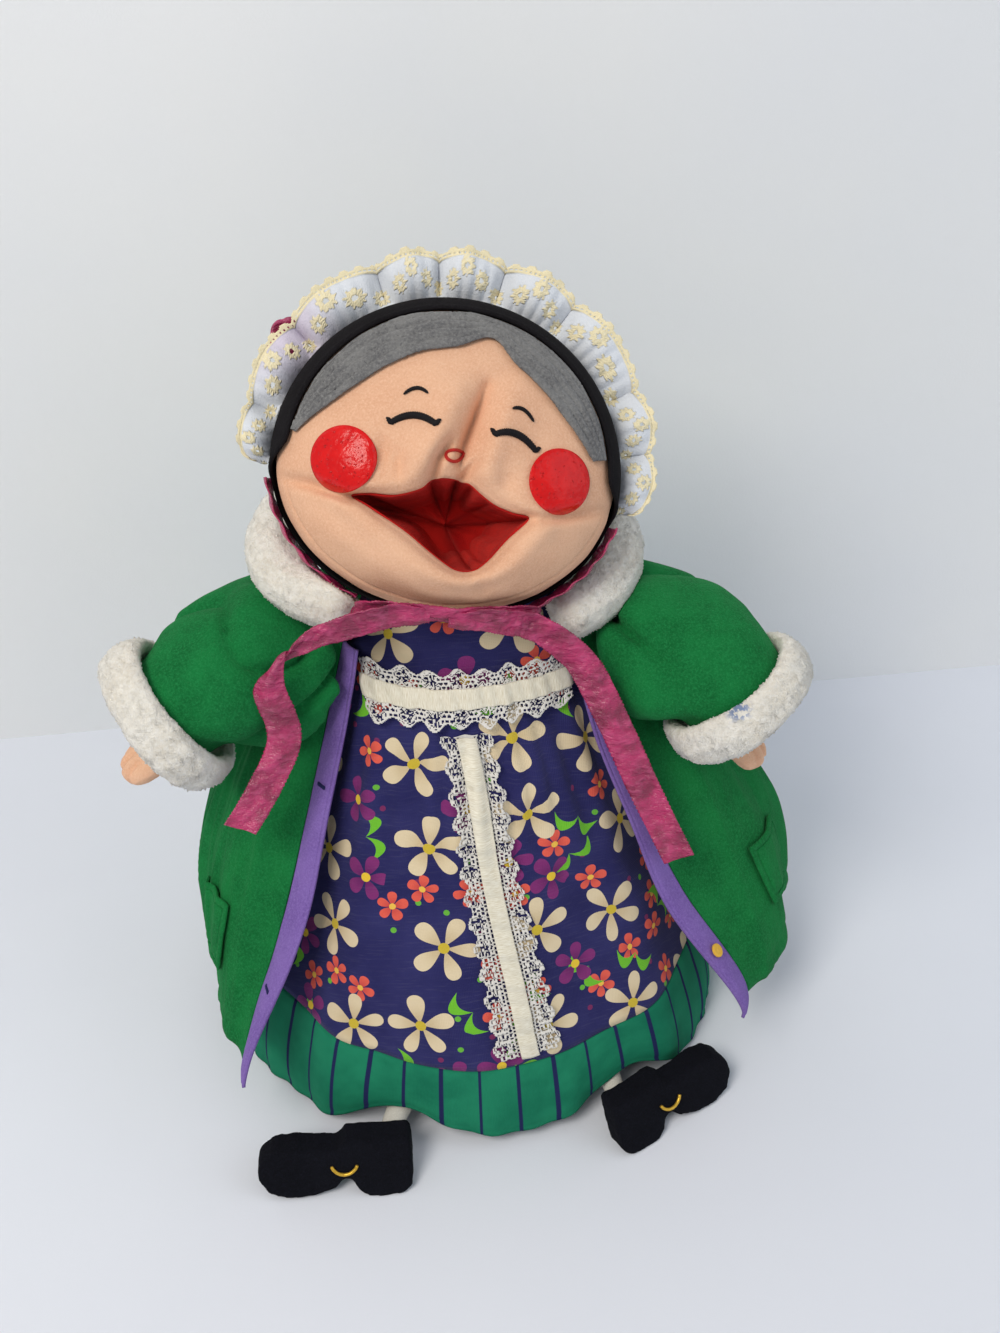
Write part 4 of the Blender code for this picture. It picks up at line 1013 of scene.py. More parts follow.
def coatPoint(side, share, height, out=0.0, detail=0.0):
    depth = coat["fold"] * (1 - height / coat["top"]) ** 0.9 * (1 - share**4)
    around = share - coat["sideShare"]
    fold = depth * (math.cos(19 * around) + 0.5 * side * math.sin(27 * around) + 0.3)
    outward = coatOutward(side, share, height)
    spot = coatOutline(side, share, height) + outward * fold
    spot = clearOfSkirt(spot, layers["cotton"] + layers["gap"])
    return spot + outward * (out + detail * coatCrease(side, share, height))


def coatCrease(side, share, height):  # soft drag lines down the fleece, only outward
    spot = Vector((share * 7 + side * 3, height * 14 + share * 7, side * 2.0))
    ridge = 1 - abs(noise.noise(spot))
    second = 1 - abs(noise.noise(spot * 2.1 + Vector((4.0, 1.0, 0.0))))
    hang = 1 - abs(noise.noise(Vector((share * 5.5 + side * 2, height * 5 + share * 3, side * 5.0))))
    return coat["ridge"] * ridge**4 + coat["second"] * second**6 + coat["hang"] * hang**3


def coatHem(side, share):
    return coat["hem"] + coat["hemWave"] * math.cos(9 * share + side)


def coatHemRoll(v):  # the stitched dent above the hem
    return coat["hemRoll"] * bell(v - coat["hemRollAt"], coat["hemRollSpread"])


def facingPoint(side, reach, share):
    height = blend(coatHem(side, 1.0), coat["top"] - coat["facingDrop"], share)
    edge = coatPoint(side, 1.0, height)
    along = (edge - coatOutline(side, 0.96, height)).normalized()
    outward = coatOutward(side, 1.0, height)
    roll = coat["facingRoll"] * math.sin(reach * math.pi / 2) * (1 - 0.4 * share)
    roll *= 1 + 0.35 * math.sin(14 * share + side)
    width = coat["facingWidth"] * blend(1.0, 0.6, share)
    spot = edge + along * (layers["gap"] * 0.8 + reach * width) + outward * roll
    return clearOfSkirt(spot, coat["facingRoom"])


def sideWord(side):
    return "left" if side < 0 else "right"


def greenFleece(name, colour, dark, light):
    look = {
        "roughness": 0.95,
        "sockets": {"Sheen Weight": 0.12, "Sheen Roughness": 0.4, "Sheen Tint": tone(130, 210, 150)},
        "colour": colour, "dark": dark, "light": light, "speck": tone(120, 190, 135), "speckShare": 0.10,
        "patch": 0.02, "nap": 0.0011, "fibre": 0.0005, "depth": 0.0004,
    }
    return napCloth(name, look)[0]


def makeCoat():
    fleece = greenFleece("green fleece", tone(20, 114, 56), tone(12, 95, 46), tone(33, 129, 70))
    look = {
        "roughness": 0.93, "sockets": {"Sheen Weight": 0.25, "Sheen Tint": tone(190, 160, 235)},
        "patch": 0.02,
        "colour": tone(128, 100, 174), "dark": tone(114, 86, 160), "light": tone(144, 118, 190),
        "nap": 0.0010, "fibre": 0.0004,
    }
    lilac = napCloth("lilac felt", look)[0]
    back = {"columns": 170, "rows": 84}

    def backPlace(u, v):
        side = 1 if u < 0.5 else -1
        share = abs(u * 2 - 1) * coat["sideShare"]
        hemRoll = coatHemRoll(v)
        return coatPoint(
            side, share, blend(coatHem(side, share), coat["top"], v), -hemRoll, ease(share * 20)
        )

    back.update(cutOf(backPlace))
    piece = clothSheet("coatBack", back, backPlace, fleece, layers["fleece"])
    keepPiece(piece, "coat_back")
    declareSheet(piece, back)
    for side in (-1, 1):
        word = sideWord(side)
        panel = {"columns": 90, "rows": 100}

        def panelPlace(u, v):
            share = blend(coat["sideShare"] + 0.005, 1.0, u if side < 0 else 1 - u)
            calm = ease((1 - share) / 0.12)
            hemRoll = coatHemRoll(v)
            return coatPoint(side, share, blend(coatHem(side, share), coat["top"], v), -hemRoll, calm)

        panel.update(cutOf(panelPlace))
        piece = clothSheet("coatFront." + word, panel, panelPlace, fleece, layers["fleece"])
        keepPiece(piece, "coat_front_" + word)
        declareSheet(piece, panel)
        edge = {"columns": 22, "rows": 120}

        def facingPlace(u, v):
            reach = u if side < 0 else 1 - u
            spot = facingPoint(side, reach, v)
            wave = coat["facingWave"] * noise.noise(Vector((reach * 2, v * 9, side * 3.0)))
            seam = coat["facingSeam"] * bell(reach - 0.86, 0.04)
            return spot + coatOutward(side, 1.0, spot.z) * (wave - seam)

        edge.update(cutOf(facingPlace))
        piece = clothSheet("facing." + word, edge, facingPlace, lilac, layers["felt"])
        keepPiece(piece, "facing_" + word)
        declareSheet(piece, edge)

        def pocketPlace(u, v):
            height = pocket["low"] + pocket["size"] * v
            share = pocket["share"] + pocket["span"] * (u if side < 0 else 1 - u)
            rim = min(u, 1 - u, v, 1 - v)
            puff = pocket["puff"] * ease(rim / 0.09) - pocket["stitch"] * bell(rim - 0.085, 0.022)
            puff += pocket["welt"] * bell(rim - 0.03, 0.03)
            return coatPoint(
                side, share, height, layers["fleece"] + layers["gap"] * 0.8 + puff, ease((1 - share) / 0.12)
            )

        pocket.update(cutOf(pocketPlace))
        piece = clothSheet("pocket." + word, pocket, pocketPlace, fleece, pocket["wall"])
        keepPiece(piece, "pocket_" + word)
        declareSheet(piece, pocket)
    print("Coat made")
    makeButton()


button = {"share": 0.16, "radius": 0.0035, "thickness": 0.0010}


def makeButton():
    spot = facingPoint(1, 0.5, button["share"])
    across = (facingPoint(1, 0.8, button["share"]) - facingPoint(1, 0.2, button["share"])).normalized()
    up = (facingPoint(1, 0.5, button["share"] + 0.05) - spot).normalized()
    outward = across.cross(up).normalized()
    if outward.dot(coatOutward(1, 1.0, spot.z)) < 0:
        outward = -outward
    up = outward.cross(across)
    centre = spot + outward * (layers["felt"] + layers["sewn"] + button["thickness"])
    work = bmesh.new()
    bmesh.ops.create_uvsphere(work, u_segments=40, v_segments=24, radius=1.0)
    for vert in work.verts:
        reach = math.hypot(vert.co.x, vert.co.y)
        level = math.copysign(abs(vert.co.z) ** 0.45, vert.co.z)
        dish = -0.45 * bell(reach, 0.55) if level > 0 else 0.0
        thread = 0.35 * bell(reach, 0.16) if level > 0 else 0.0
        flat = (across * vert.co.x + up * vert.co.y) * button["radius"]
        vert.co = bodyPlace @ (centre + flat + outward * button["thickness"] * (level + dish + thread))
    bmesh.ops.recalc_face_normals(work, faces=work.faces)
    look = {"roughness": 0.35, "sockets": {"Coat Weight": 0.3}, "colour": tone(226, 178, 60)}
    material, tree, shader = startMaterial("yellow button", look)
    cloud = noiseAt(tree, objectPlace(tree), 0.002)
    finishMaterial(
        tree, shader, mixTone(tree, cloud, tone(212, 158, 44), tone(238, 194, 78)), cloud, 0.00005
    )
    keepPiece(pieceFrom(work, "coatButton", material), "coat_button")
    makeButtonholes()


buttonholes = {"shares": (0.20, 0.665), "reach": 0.45, "length": 0.0046, "threads": 9, "radius": 0.0006}


def makeButtonholes():  # two short bars of dark thread on the left facing
    look = {"roughness": 0.6, "colour": tone(28, 30, 72)}
    material, tree, shader = startMaterial("navy stitch thread", look)
    twist = noiseAt(tree, objectPlace(tree), 0.0004)
    finishMaterial(tree, shader, mixTone(tree, twist, tone(22, 24, 60), tone(44, 46, 96)), twist, 0.0001)
    work = bmesh.new()
    for share in buttonholes["shares"]:
        spot = facingPoint(-1, buttonholes["reach"], share)
        across = (facingPoint(-1, 0.7, share) - facingPoint(-1, 0.2, share)).normalized()
        up = (facingPoint(-1, buttonholes["reach"], share + 0.03) - spot).normalized()
        outward = across.cross(up).normalized()
        if outward.dot(coatOutward(-1, 1.0, spot.z)) < 0:
            outward = -outward
        for index in range(buttonholes["threads"]):
            along = (index / (buttonholes["threads"] - 1) - 0.5) * buttonholes["length"]
            made = bmesh.ops.create_uvsphere(work, u_segments=8, v_segments=6, radius=1.0)["verts"]
            middle = spot + across * along + outward * (layers["felt"] + 0.0001)
            size = buttonholes["radius"]
            for vert in made:
                flat = across * vert.co.x + up * vert.co.y * 1.7
                vert.co = bodyPlace @ (middle + (flat + outward * vert.co.z * 0.8) * size)
    bmesh.ops.recalc_face_normals(work, faces=work.faces)
    keepPiece(pieceFrom(work, "buttonholes", material), None)


# Sleeves, cuffs, hands and collar

arms = {
    -1: {
        "shoulder": Vector((-0.066, 0.042, 0.209)), "cuff": Vector((-0.143, 0.000, 0.202)),
        "axis": Vector((-0.84, -0.06, -0.54)).normalized(),
    },
    1: {
        "shoulder": Vector((0.066, 0.040, 0.202)), "cuff": Vector((0.120, -0.033, 0.196)),
        "axis": Vector((0.56, -0.30, -0.75)).normalized(),
    },
}
sleeve = {
    "voxel": 0.0040, "crease": 0.0078, "puff": 0.20, "wander": 0.18,
    "air": {"pressure": 4.0, "spare": -0.04, "frames": 20, "cap": 0.0050},
}
pile = {"height": 0.0010, "lean": 0.7, "swirl": 320.0, "grain": 900.0}
plush = {"voxel": 0.0017, "lump": 0.0008, "lumpSize": 0.017, "sunk": 0.0004}
stain = {"spot": Vector((0.1073, -0.0590, 0.2116)), "reach": 0.0080}


def ringAxes(axis):
    upward = (Vector((0, 0, 1)) - axis * axis.z).normalized()
    forward = upward.cross(axis)
    return (forward if forward.y < 0 else -forward), upward


def subdivided(piece, times):
    finer = piece.modifiers.new("Finer", "SUBSURF")
    finer.levels = times
    finer.render_levels = times
    return applied(piece)


def creamPlush():
    look = {
        "roughness": 1.0, "sockets": {"Sheen Weight": 0.15, "Sheen Roughness": 0.5},
        "colour": tone(247, 243, 233),
        "dark": tone(241, 234, 220), "light": tone(253, 251, 246), "nap": 0.0016, "fibre": 0.0005,
        "patch": 0.018, "depth": 0.0008,
    }
    material, tree, shader, colour = napCloth("cream plush", look)
    spot = objectPlace(tree)
    away = distanceTo(tree, spot, stain["spot"])
    near = minus(tree, 1.0, smooth(tree, away, stain["reach"] * 0.3, stain["reach"]))
    strokes = smooth(tree, noiseAt(tree, spot, 0.0026, 2.0), 0.46, 0.56)
    ink = times(tree, times(tree, near, strokes), 0.75)
    tree.links.new(mixTone(tree, ink, colour, tone(70, 120, 190)), shader.inputs["Base Color"])
    return material


def peachLook(name):
    look = {
        "roughness": 0.95,
        "sockets": {"Sheen Weight": 0.12, "Sheen Roughness": 0.4, "Sheen Tint": tone(250, 220, 200)},
        "colour": tone(231, 183, 150), "dark": tone(222, 170, 137), "light": tone(239, 195, 164),
        "speck": tone(188, 140, 112), "speckShare": 0.22, "nap": 0.0010, "fibre": 0.0009, "patch": 0.025,
        "depth": 0.0003,
    }
    return napCloth(name, look)[0]


def makeArms():
    fleece = greenFleece("green sleeve fleece", tone(20, 116, 58), tone(12, 95, 46), tone(33, 131, 71))
    cream = creamPlush()
    peach = peachLook("peach hand fleece")
    for side, arm in arms.items():
        word = sideWord(side)
        piece = softCopy("sleeve_" + word, "sleeve." + word, fleece, sleeve["voxel"], 2)
        swell(piece, sleeve["air"])
        subdivided(piece, 1)
        forward, upward = ringAxes(arm["axis"])
        shoulder, cuff = bodyPlace @ arm["shoulder"], bodyPlace @ arm["cuff"]
        length = (cuff - shoulder).length

        def creases(spot):
            share = (spot - shoulder).dot((cuff - shoulder).normalized()) / length
            away = spot - shoulder
            turn = math.atan2(away.dot(upward), away.dot(forward))
            wander = noise.noise(spot * 17 + Vector((0.0, side * 2.0, 0.0)))
            fan = abs(math.sin(3.6 * turn + 4.2 * wander + 0.8 * side))
            calm = ease((1.1 - share) / 0.7) * ease((share + 0.25) / 0.2)
            return sleeve["crease"] * (
                sleeve["puff"] * calm - calm * (1 - fan) ** 2.4 + sleeve["wander"] * wander
            )

        pushOut(piece, creases)
        keepPiece(piece, "sleeve_" + word)
        piece = softCopy("cuff_" + word, "cuff." + word, cream, plush["voxel"], 3)
        lumpy(piece)
        tufted(piece, pile)
        keepPiece(piece, "cuff_" + word)
        makeHand(word, arm, peach)
    piece = softCopy("fur_collar", "furCollar", cream, plush["voxel"], 3)
    lumpy(piece)
    tufted(piece, pile)
    keepPiece(piece, "fur_collar")
    print("Arms and collar made")


def lumpy(piece):
    def lumps(spot):
        soft = noise.noise(spot / plush["lumpSize"])
        rib = noise.noise(spot / plush["lumpSize"] * 2.7)
        return plush["lump"] * (soft + 0.5 * rib) - plush["sunk"]

    pushOut(piece, lumps)


hand = {"voxel": 0.0012, "groove": 0.0022, "grooves": (-0.42, 0.10, 0.58), "halfWidth": 0.0145,
    "start": 0.004, "fade": 0.010}


def makeHand(word, arm, peach):
    piece = softCopy("hand_" + word, "hand." + word, peach, hand["voxel"], 3)
    low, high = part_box("hand_" + word)
    middle = (low + high) / 2
    forward = ringAxes(arm["axis"])[0]

    def fingers(spot):
        away = spot - middle
        across = away.dot(forward) / hand["halfWidth"]
        outer = ease((away.dot(arm["axis"]) + hand["start"]) / hand["fade"])
        return -hand["groove"] * outer * sum(bell(across - groove, 0.10) for groove in hand["grooves"])

    pushOut(piece, fingers)
    keepPiece(piece, "hand_" + word)


# Head

head = {
    "centre": Vector((-0.0095, 0.012, 0.303)), "turn": math.radians(-6), "pitch": math.radians(-28),
    "roll": math.radians(10),
    "halfWidth": 0.0745, "crown": 0.0735, "chin": 0.0600, "faceDepth": 0.038, "backDepth": 0.040,
    "crease": 0.0045,
    "skinGap": 0.0016, "columns": 220, "rows": 80, "flat": (0.30, 0.26), "outer": math.radians(118),
    "wall": 0.0020, "foldShare": 2.2,
    "area": 0.030, "rim": 0.0050, "lip": 0.0024, "seam": 0.0017, "soft": 0.0004,
}
headTurn = Matrix.Rotation(head["turn"], 4, "Z") @ Matrix.Rotation(head["pitch"], 4, "X")
headPlace = bodyPlace @ Matrix.Translation(head["centre"]) @ headTurn @ Matrix.Rotation(
    head["roll"], 4, "Y"
)
mouth = {
    "outline": (
        (-0.0400, -0.0155), (-0.0323, -0.0135), (-0.0214, -0.0129), (-0.0117, -0.0092), (-0.0069, -0.0047),
        (0.0002, -0.0034), (0.0076, -0.0042), (0.0139, -0.0082), (0.0202, -0.0117), (0.0277, -0.0138),
        (0.0357, -0.0155), (0.0280, -0.0250), (0.0213, -0.0345), (0.0154, -0.0402), (0.0082, -0.0412),
        (-0.0007, -0.0370), (-0.0159, -0.0275), (-0.0308, -0.0199),
    ),
    "middle": Vector((0.002, -0.021)), "depth": 0.037, "seam": -0.0006, "start": 0.0060, "ripple": 0.0012,
    "pleat": 0.0016, "closes": 0.85, "narrow": 0.5,
}
# Folds of the face: the line they follow, how deep (outward is positive) and how wide
faceFolds = (
    (((0.0110, 0.0370), (0.0075, 0.0230), (0.0045, 0.0120), (0.0035, 0.0030)), -0.0034, 0.0020),
    (((0.0110, 0.0370), (0.0075, 0.0230), (0.0050, 0.0120)), -0.0022, 0.0060),
    (((-0.0015, 0.0120), (-0.0062, 0.0034), (-0.0076, -0.0060)), -0.0034, 0.0022),
    (((0.0036, -0.0050), (0.0060, -0.0010), (0.0092, 0.0030)), -0.0026, 0.0019),
    (((-0.0015, 0.0300), (-0.0060, 0.0150), (-0.0130, 0.0020), (-0.0170, -0.0080)), 0.0030, 0.0075),
    (((0.0160, 0.0300), (0.0140, 0.0150), (0.0150, 0.0030)), 0.0026, 0.0070),
    (((-0.0215, 0.0040), (-0.0210, -0.0050)), -0.0020, 0.0028),
    (((-0.0290, 0.0080), (-0.0275, -0.0020)), -0.0016, 0.0030),
    (((0.0220, 0.0020), (0.0250, -0.0060)), -0.0012, 0.0040),
    (((-0.0710, -0.0110), (-0.0560, -0.0130), (-0.0400, -0.0170)), -0.0032, 0.0026),
    (((0.0420, -0.0150), (0.0560, -0.0110), (0.0730, -0.0070)), -0.0030, 0.0026),
    (((-0.0500, -0.0300), (-0.0250, -0.0420), (-0.0020, -0.0500)), 0.0026, 0.0090),
    (((0.0450, -0.0270), (0.0330, -0.0380), (0.0200, -0.0480)), 0.0024, 0.0085),
    (((0.0160, -0.0450), (0.0240, -0.0500)), -0.0026, 0.0042),
)


# Soft swellings of brows, cheeks and lower lip: how far out, then each one's middle and spread
faceBumps = (
    (0.0025, ((-0.012, 0.02, 0.009, 0.02), (0.024, 0.02, 0.009, 0.02))),
    (0.0035, ((-0.042, -0.004, 0.016, 0.018), (0.046, -0.004, 0.016, 0.018))),
    (0.0045, ((0.008, -0.047, 0.030, 0.010),)),
)


def softBump(x, z, middleX, middleZ, spreadX, spreadZ):
    return math.exp(-(((x - middleX) / spreadX) ** 2) - (((z - middleZ) / spreadZ) ** 2))


def faceRelief(x, z):
    relief = -head["crease"] * softBump(x, z, 0.007 + 0.25 * z, 0.018, 0.0055, 0.022)
    for height, spots in faceBumps:
        relief += height * sum(softBump(x, z, *spot) for spot in spots)
    folds = 0.0
    for line, depth, width in faceFolds:
        away, share = lineDistance(x, z, line)
        if away < width * 3:
            folds += head["foldShare"] * depth * bell(away, width) * (
                0.55 + 0.45 * math.sin(math.pi * share)
            )
    return relief + folds


def headLocal(polar, turn, out=0.0):
    halfHeight = head["crown"] if math.sin(turn) > 0 else head["chin"]
    depth = head["faceDepth"] if polar < math.pi / 2 else head["backDepth"]
    ring = math.sin(polar)
    x = (head["halfWidth"] + out) * ring * math.cos(turn)
    z = (halfHeight + out) * ring * math.sin(turn)
    relief = faceRelief(x, z) * max(0.0, math.cos(polar)) ** 0.5 if polar < math.pi / 2 else 0.0
    return Vector((x, -(depth + out) * math.cos(polar) - relief, z))


def faceLocal(x, z, out):
    halfHeight = head["crown"] if z > 0 else head["chin"]
    level = math.sqrt(max(0.0, 1 - (x / head["halfWidth"]) ** 2 - (z / halfHeight) ** 2))
    return Vector((x, -head["faceDepth"] * level - faceRelief(x, z) * level**0.5 - out, z))


def mouthOutline(share, inset=0.0):
    spot = curveAt([(x, z, 0.0) for x, z in mouth["outline"]], share, closed=True).to_2d()
    return spot + (mouth["middle"] - spot).normalized() * inset


def neckHole(spot):  # true inside the neck of the dress, a little wider than it
    spot = spot - centreShift
    if not skirt["top"] - 0.040 < spot.z < tube["top"] + 0.010:
        return False
    halfWidth, halfDepth, middle = skirtRing(min(spot.z, skirt["top"]))
    room = layers["cotton"] + layers["gap"]
    return math.hypot(spot.x / (halfWidth + room), (spot.y - middle) / (halfDepth + room)) < 1


def outerTurn(share):  # the side of the head that each place of the mouth's edge looks at
    knots = ((0.0, 187.0), (0.278, 95.0), (0.5556, 0.0), (0.75, -85.0), (1.0, -173.0))
    for (low, first), (high, second) in zip(knots, knots[1:]):
        if share <= high:
            return math.radians(blend(first, second, (share - low) / (high - low)))
    return math.radians(knots[-1][1])


def facePlace(u, v):
    rim = mouthOutline(u % 1.0)
    halfHeight = head["crown"] if rim.y > 0 else head["chin"]
    start = Vector((rim.x / head["halfWidth"], rim.y / halfHeight))
    start = start.normalized() * math.asin(min(start.length, 1.0))
    turn = outerTurn(u)
    end = Vector((math.cos(turn), math.sin(turn))) * head["outer"]
    flat = start.lerp(end, v)
    polar, turn = flat.length, math.atan2(flat.y, flat.x)
    spot = headLocal(polar, turn)
    lip = head["lip"] * bell(v - 0.10, 0.06) * ease((-math.sin(turn) - 0.25) / 0.3)
    rolled = head["rim"] * bell(v, 0.030) - lip
    below = ease((-math.sin(turn) - 0.1) / 0.4)
    seam = head["seam"] * bell(polar - math.radians(71), 0.016) * below
    inward = -spot.normalized()
    soft = head["soft"] * noise.noise(spot * 90)
    return spot + Vector((0.0, rolled, 0.0)) + inward * (seam + soft)


def makeHead():
    def faceHole(u, v):
        return v > 0.6 and neckHole(headPlace @ facePlace(u, v))

    fleece = peachLook("peach fleece")
    piece = clothSheet(
        "face", head, facePlace, fleece, head["wall"], at=headPlace, side=-1.0, hole=faceHole
    )
    keepPiece(piece, "head_shell")
    makeMouth()
    makeHair()
    makeBonnet()
    makeFeatures()
    print("Head made")


def makeMouth():
    look = {
        "roughness": 0.55, "sockets": {"Sheen Weight": 0.3, "Sheen Tint": tone(255, 120, 110)},
        "colour": tone(190, 24, 20),
    }
    red, tree, shader = startMaterial("red cotton", look)
    place = clothPlace(tree)
    wide = smooth(tree, noiseAt(tree, place, 0.02), 0.3, 0.7)
    finishMaterial(
        tree, shader, mixTone(tree, wide, tone(172, 16, 18), tone(204, 32, 26)),
        weaveOf(tree, place, finePitch), 0.0001,
    )
    lining = {"columns": 180, "rows": 44, "flat": (0.20, 0.075), "area": 0.0085}

    def pocketPlace(u, v):
        rim = mouthOutline(u % 1.0, mouth["seam"])
        narrow = 1 - mouth["narrow"] * v**2
        if v >= mouth["closes"]:
            narrow = (1 - mouth["narrow"] * mouth["closes"] ** 2) * (1 - v) / 0.15
        spot = mouth["middle"] + (rim - mouth["middle"]) * narrow
        start = faceLocal(rim.x, rim.y, -mouth["start"]).y
        away = start + mouth["depth"] * min(v / mouth["closes"], 1.0) ** 0.8
        fold = v * (1 - v) * 4
        ripple = mouth["ripple"] * math.sin(14 * math.pi * u) * fold
        pleat = mouth["pleat"] * math.sin(26 * math.pi * u + 2 * math.sin(6 * math.pi * u)) * fold
        inward = (
            mouth["middle"] - spot
        ).normalized() if (mouth["middle"] - spot).length > 0.0001 else Vector((0.0, 0.0))
        spot = spot + inward * pleat
        return Vector((spot.x, away, spot.y + ripple))

    piece = clothSheet("mouthLining", lining, pocketPlace, red, layers["cotton"], at=headPlace, side=-1.0)
    keepPiece(piece, "mouth_lining")


hairCut = {"inner": math.radians(45), "outer": math.radians(63), "gap": 0.0010, "columns": 220, "rows": 36,
    "flat": (0.20, 0.027), "area": 0.0042, "wall": 0.0012, "ragged": 0.006, "nap": 0.0004, "edge": 0.0006}


def makeHair():
    look = {
        "roughness": 1.0, "sockets": {"Sheen Weight": 0.15, "Sheen Roughness": 0.5},
        "colour": tone(122, 122, 122),
        "dark": tone(96, 96, 98), "light": tone(142, 141, 140), "speck": tone(74, 74, 77),
        "speckShare": 0.55,
        "nap": 0.0012, "fibre": 0.0011, "patch": 0.012, "depth": 0.0006,
    }
    grey = napCloth("grey brushed fleece", look)[0]

    def hairPlace(u, v):
        turn = blend(math.radians(172), math.radians(12), u)
        peak = 0.13 * bell(turn - math.radians(79), 0.15) + 0.04 * bell(turn - math.radians(76), 0.45)
        inner = hairCut["inner"] - 0.05 + peak + blend(0.36, 0.22, u) * abs(u * 2 - 1) ** 5
        ragged = hairCut["ragged"] * noise.noise(Vector((u * 160, 3.0, 0.0))) * (1 - v)
        rows = hairCut["nap"] * math.sin(v * 26 + 1.5 * noise.noise(Vector((u * 12, 0.0, 5.0))))
        nap = hairCut["nap"] * noise.noise(Vector((u * 240, v * 34, 0.0)))
        edge = hairCut["edge"] * ease(v / 0.10)
        return headLocal(
            blend(inner + ragged, hairCut["outer"], v), turn, hairCut["gap"] + rows + nap + edge
        )

    piece = clothSheet("hairBand", hairCut, hairPlace, grey, hairCut["wall"], at=headPlace)
    keepPiece(piece, "hair")


bonnet = {
    "crown": math.radians(65), "bare": math.radians(32), "columns": 180, "rows": 70, "flat": (0.42, 0.16),
    "rufflePolar": math.radians(98), "width": 0.021, "gathers": 9, "wave": 0.0055,
    "earLeft": math.radians(184), "earRight": math.radians(-6), "area": 0.030, "crownGather": 0.0011,
    "piping": 0.0005,
}
ruffle = {"columns": 460, "rows": 40, "flat": (0.46, 0.025), "area": 0.0072, "length": 0.36, "tall": 0.0215,
    "pleat": 0.0013, "curl": 0.0012, "lean": 0.004, "start": 0.0006, "wall": 0.0006, "border": 0.80,
    "net": 0.885,
    "netPitch": 0.0024, "netHole": 0.00052, "eyeHole": 0.00115, "daisy": 0.0040, "daisyWave": 0.0006}


def lobePlace(share):  # which gathered lobe of the ruffle a place is in, the lobes a little uneven
    return bonnet["gathers"] * share + 0.16 * math.sin(13 * share) + 0.08 * math.sin(29 * share)


def rufflePoint(share, reach, out=0.0):
    turn = blend(bonnet["earLeft"], bonnet["earRight"], share)
    seam = headLocal(bonnet["rufflePolar"], turn, layers["felt"] + head["skinGap"] + layers["sewn"] * 2)
    away = Vector((seam.x, 0.0, seam.z)).normalized()
    fade = math.sin(math.pi * limit(share)) ** 0.35
    lobe = abs(math.sin(math.pi * lobePlace(share))) ** 0.6
    scallop = 0.86 + 0.20 * lobe * reach
    width = bonnet["width"] * (0.35 + 0.65 * fade) * scallop * reach
    pleats = ruffle["pleat"] * math.sin(
        2 * math.pi * 52 * share + 3 * math.sin(11 * share)
    ) * (1 - reach) ** 1.2 * reach**0.3
    curl = ruffle["curl"] * math.sin(2 * math.pi * lobePlace(share) * 2 + 2.0) * reach**2
    puff = math.sin(math.pi * min(reach * 1.15, 1.0)) ** 0.8
    depth = bonnet["wave"] * (lobe * 2 - 1) * (
        0.5 * reach + 0.9 * puff
    ) + ruffle["lean"] * reach + pleats + curl
    return seam + away * (ruffle["start"] + width) + Vector((0.0, -depth + out, 0.0))


daisies = ((-0.24, 0.40), (-0.02, 0.64), (0.22, 0.42), (0.47, 0.24))


# how near a place of the ruffle is to a worked hole: distance to its middle and angle round it
def eyelet(u, v):
    pitch = ruffle["length"] / bonnet["gathers"]
    along, away = lobePlace(u) * pitch, v * ruffle["tall"]
    cell = math.floor(along / pitch)
    best = (1.0, 0.0)
    for near in (cell - 1, cell, cell + 1):
        for x, y in daisies:
            dx = along - (near + 0.5 + x) * pitch
            dy = away - y * ruffle["tall"]
            if math.hypot(dx, dy) < best[0]:
                best = (math.hypot(dx, dy), math.atan2(dy, dx))
    return best


def ruffleEdge(u):
    return 1 - 0.055 * (0.5 + 0.5 * math.cos(2 * math.pi * u * 46))


def ruffleHole(u, v):
    if v > ruffleEdge(u):
        return True
    row = (u * ruffle["length"] / ruffle["netPitch"]) % 1.0 - 0.5
    if math.hypot(row * ruffle["netPitch"], (v - ruffle["net"]) * ruffle["tall"]) < ruffle["netHole"]:
        return True
    return eyelet(u, v)[0] < ruffle["eyeHole"] and v < 0.86


def ruffleMark(u, v):  # 1 on worked cream stitches, 0 on the plain white ground
    away, angle = eyelet(u, v)
    petals = ruffle["daisy"] + ruffle["daisyWave"] * math.cos(9 * angle)
    worked = 0.0 if away > petals else 0.75 + 0.25 * math.cos(16 * angle)
    border = ease((v - ruffle["border"]) / 0.05)
    return max(worked, border, 0.3 * (1 - ease(v / 0.12)))


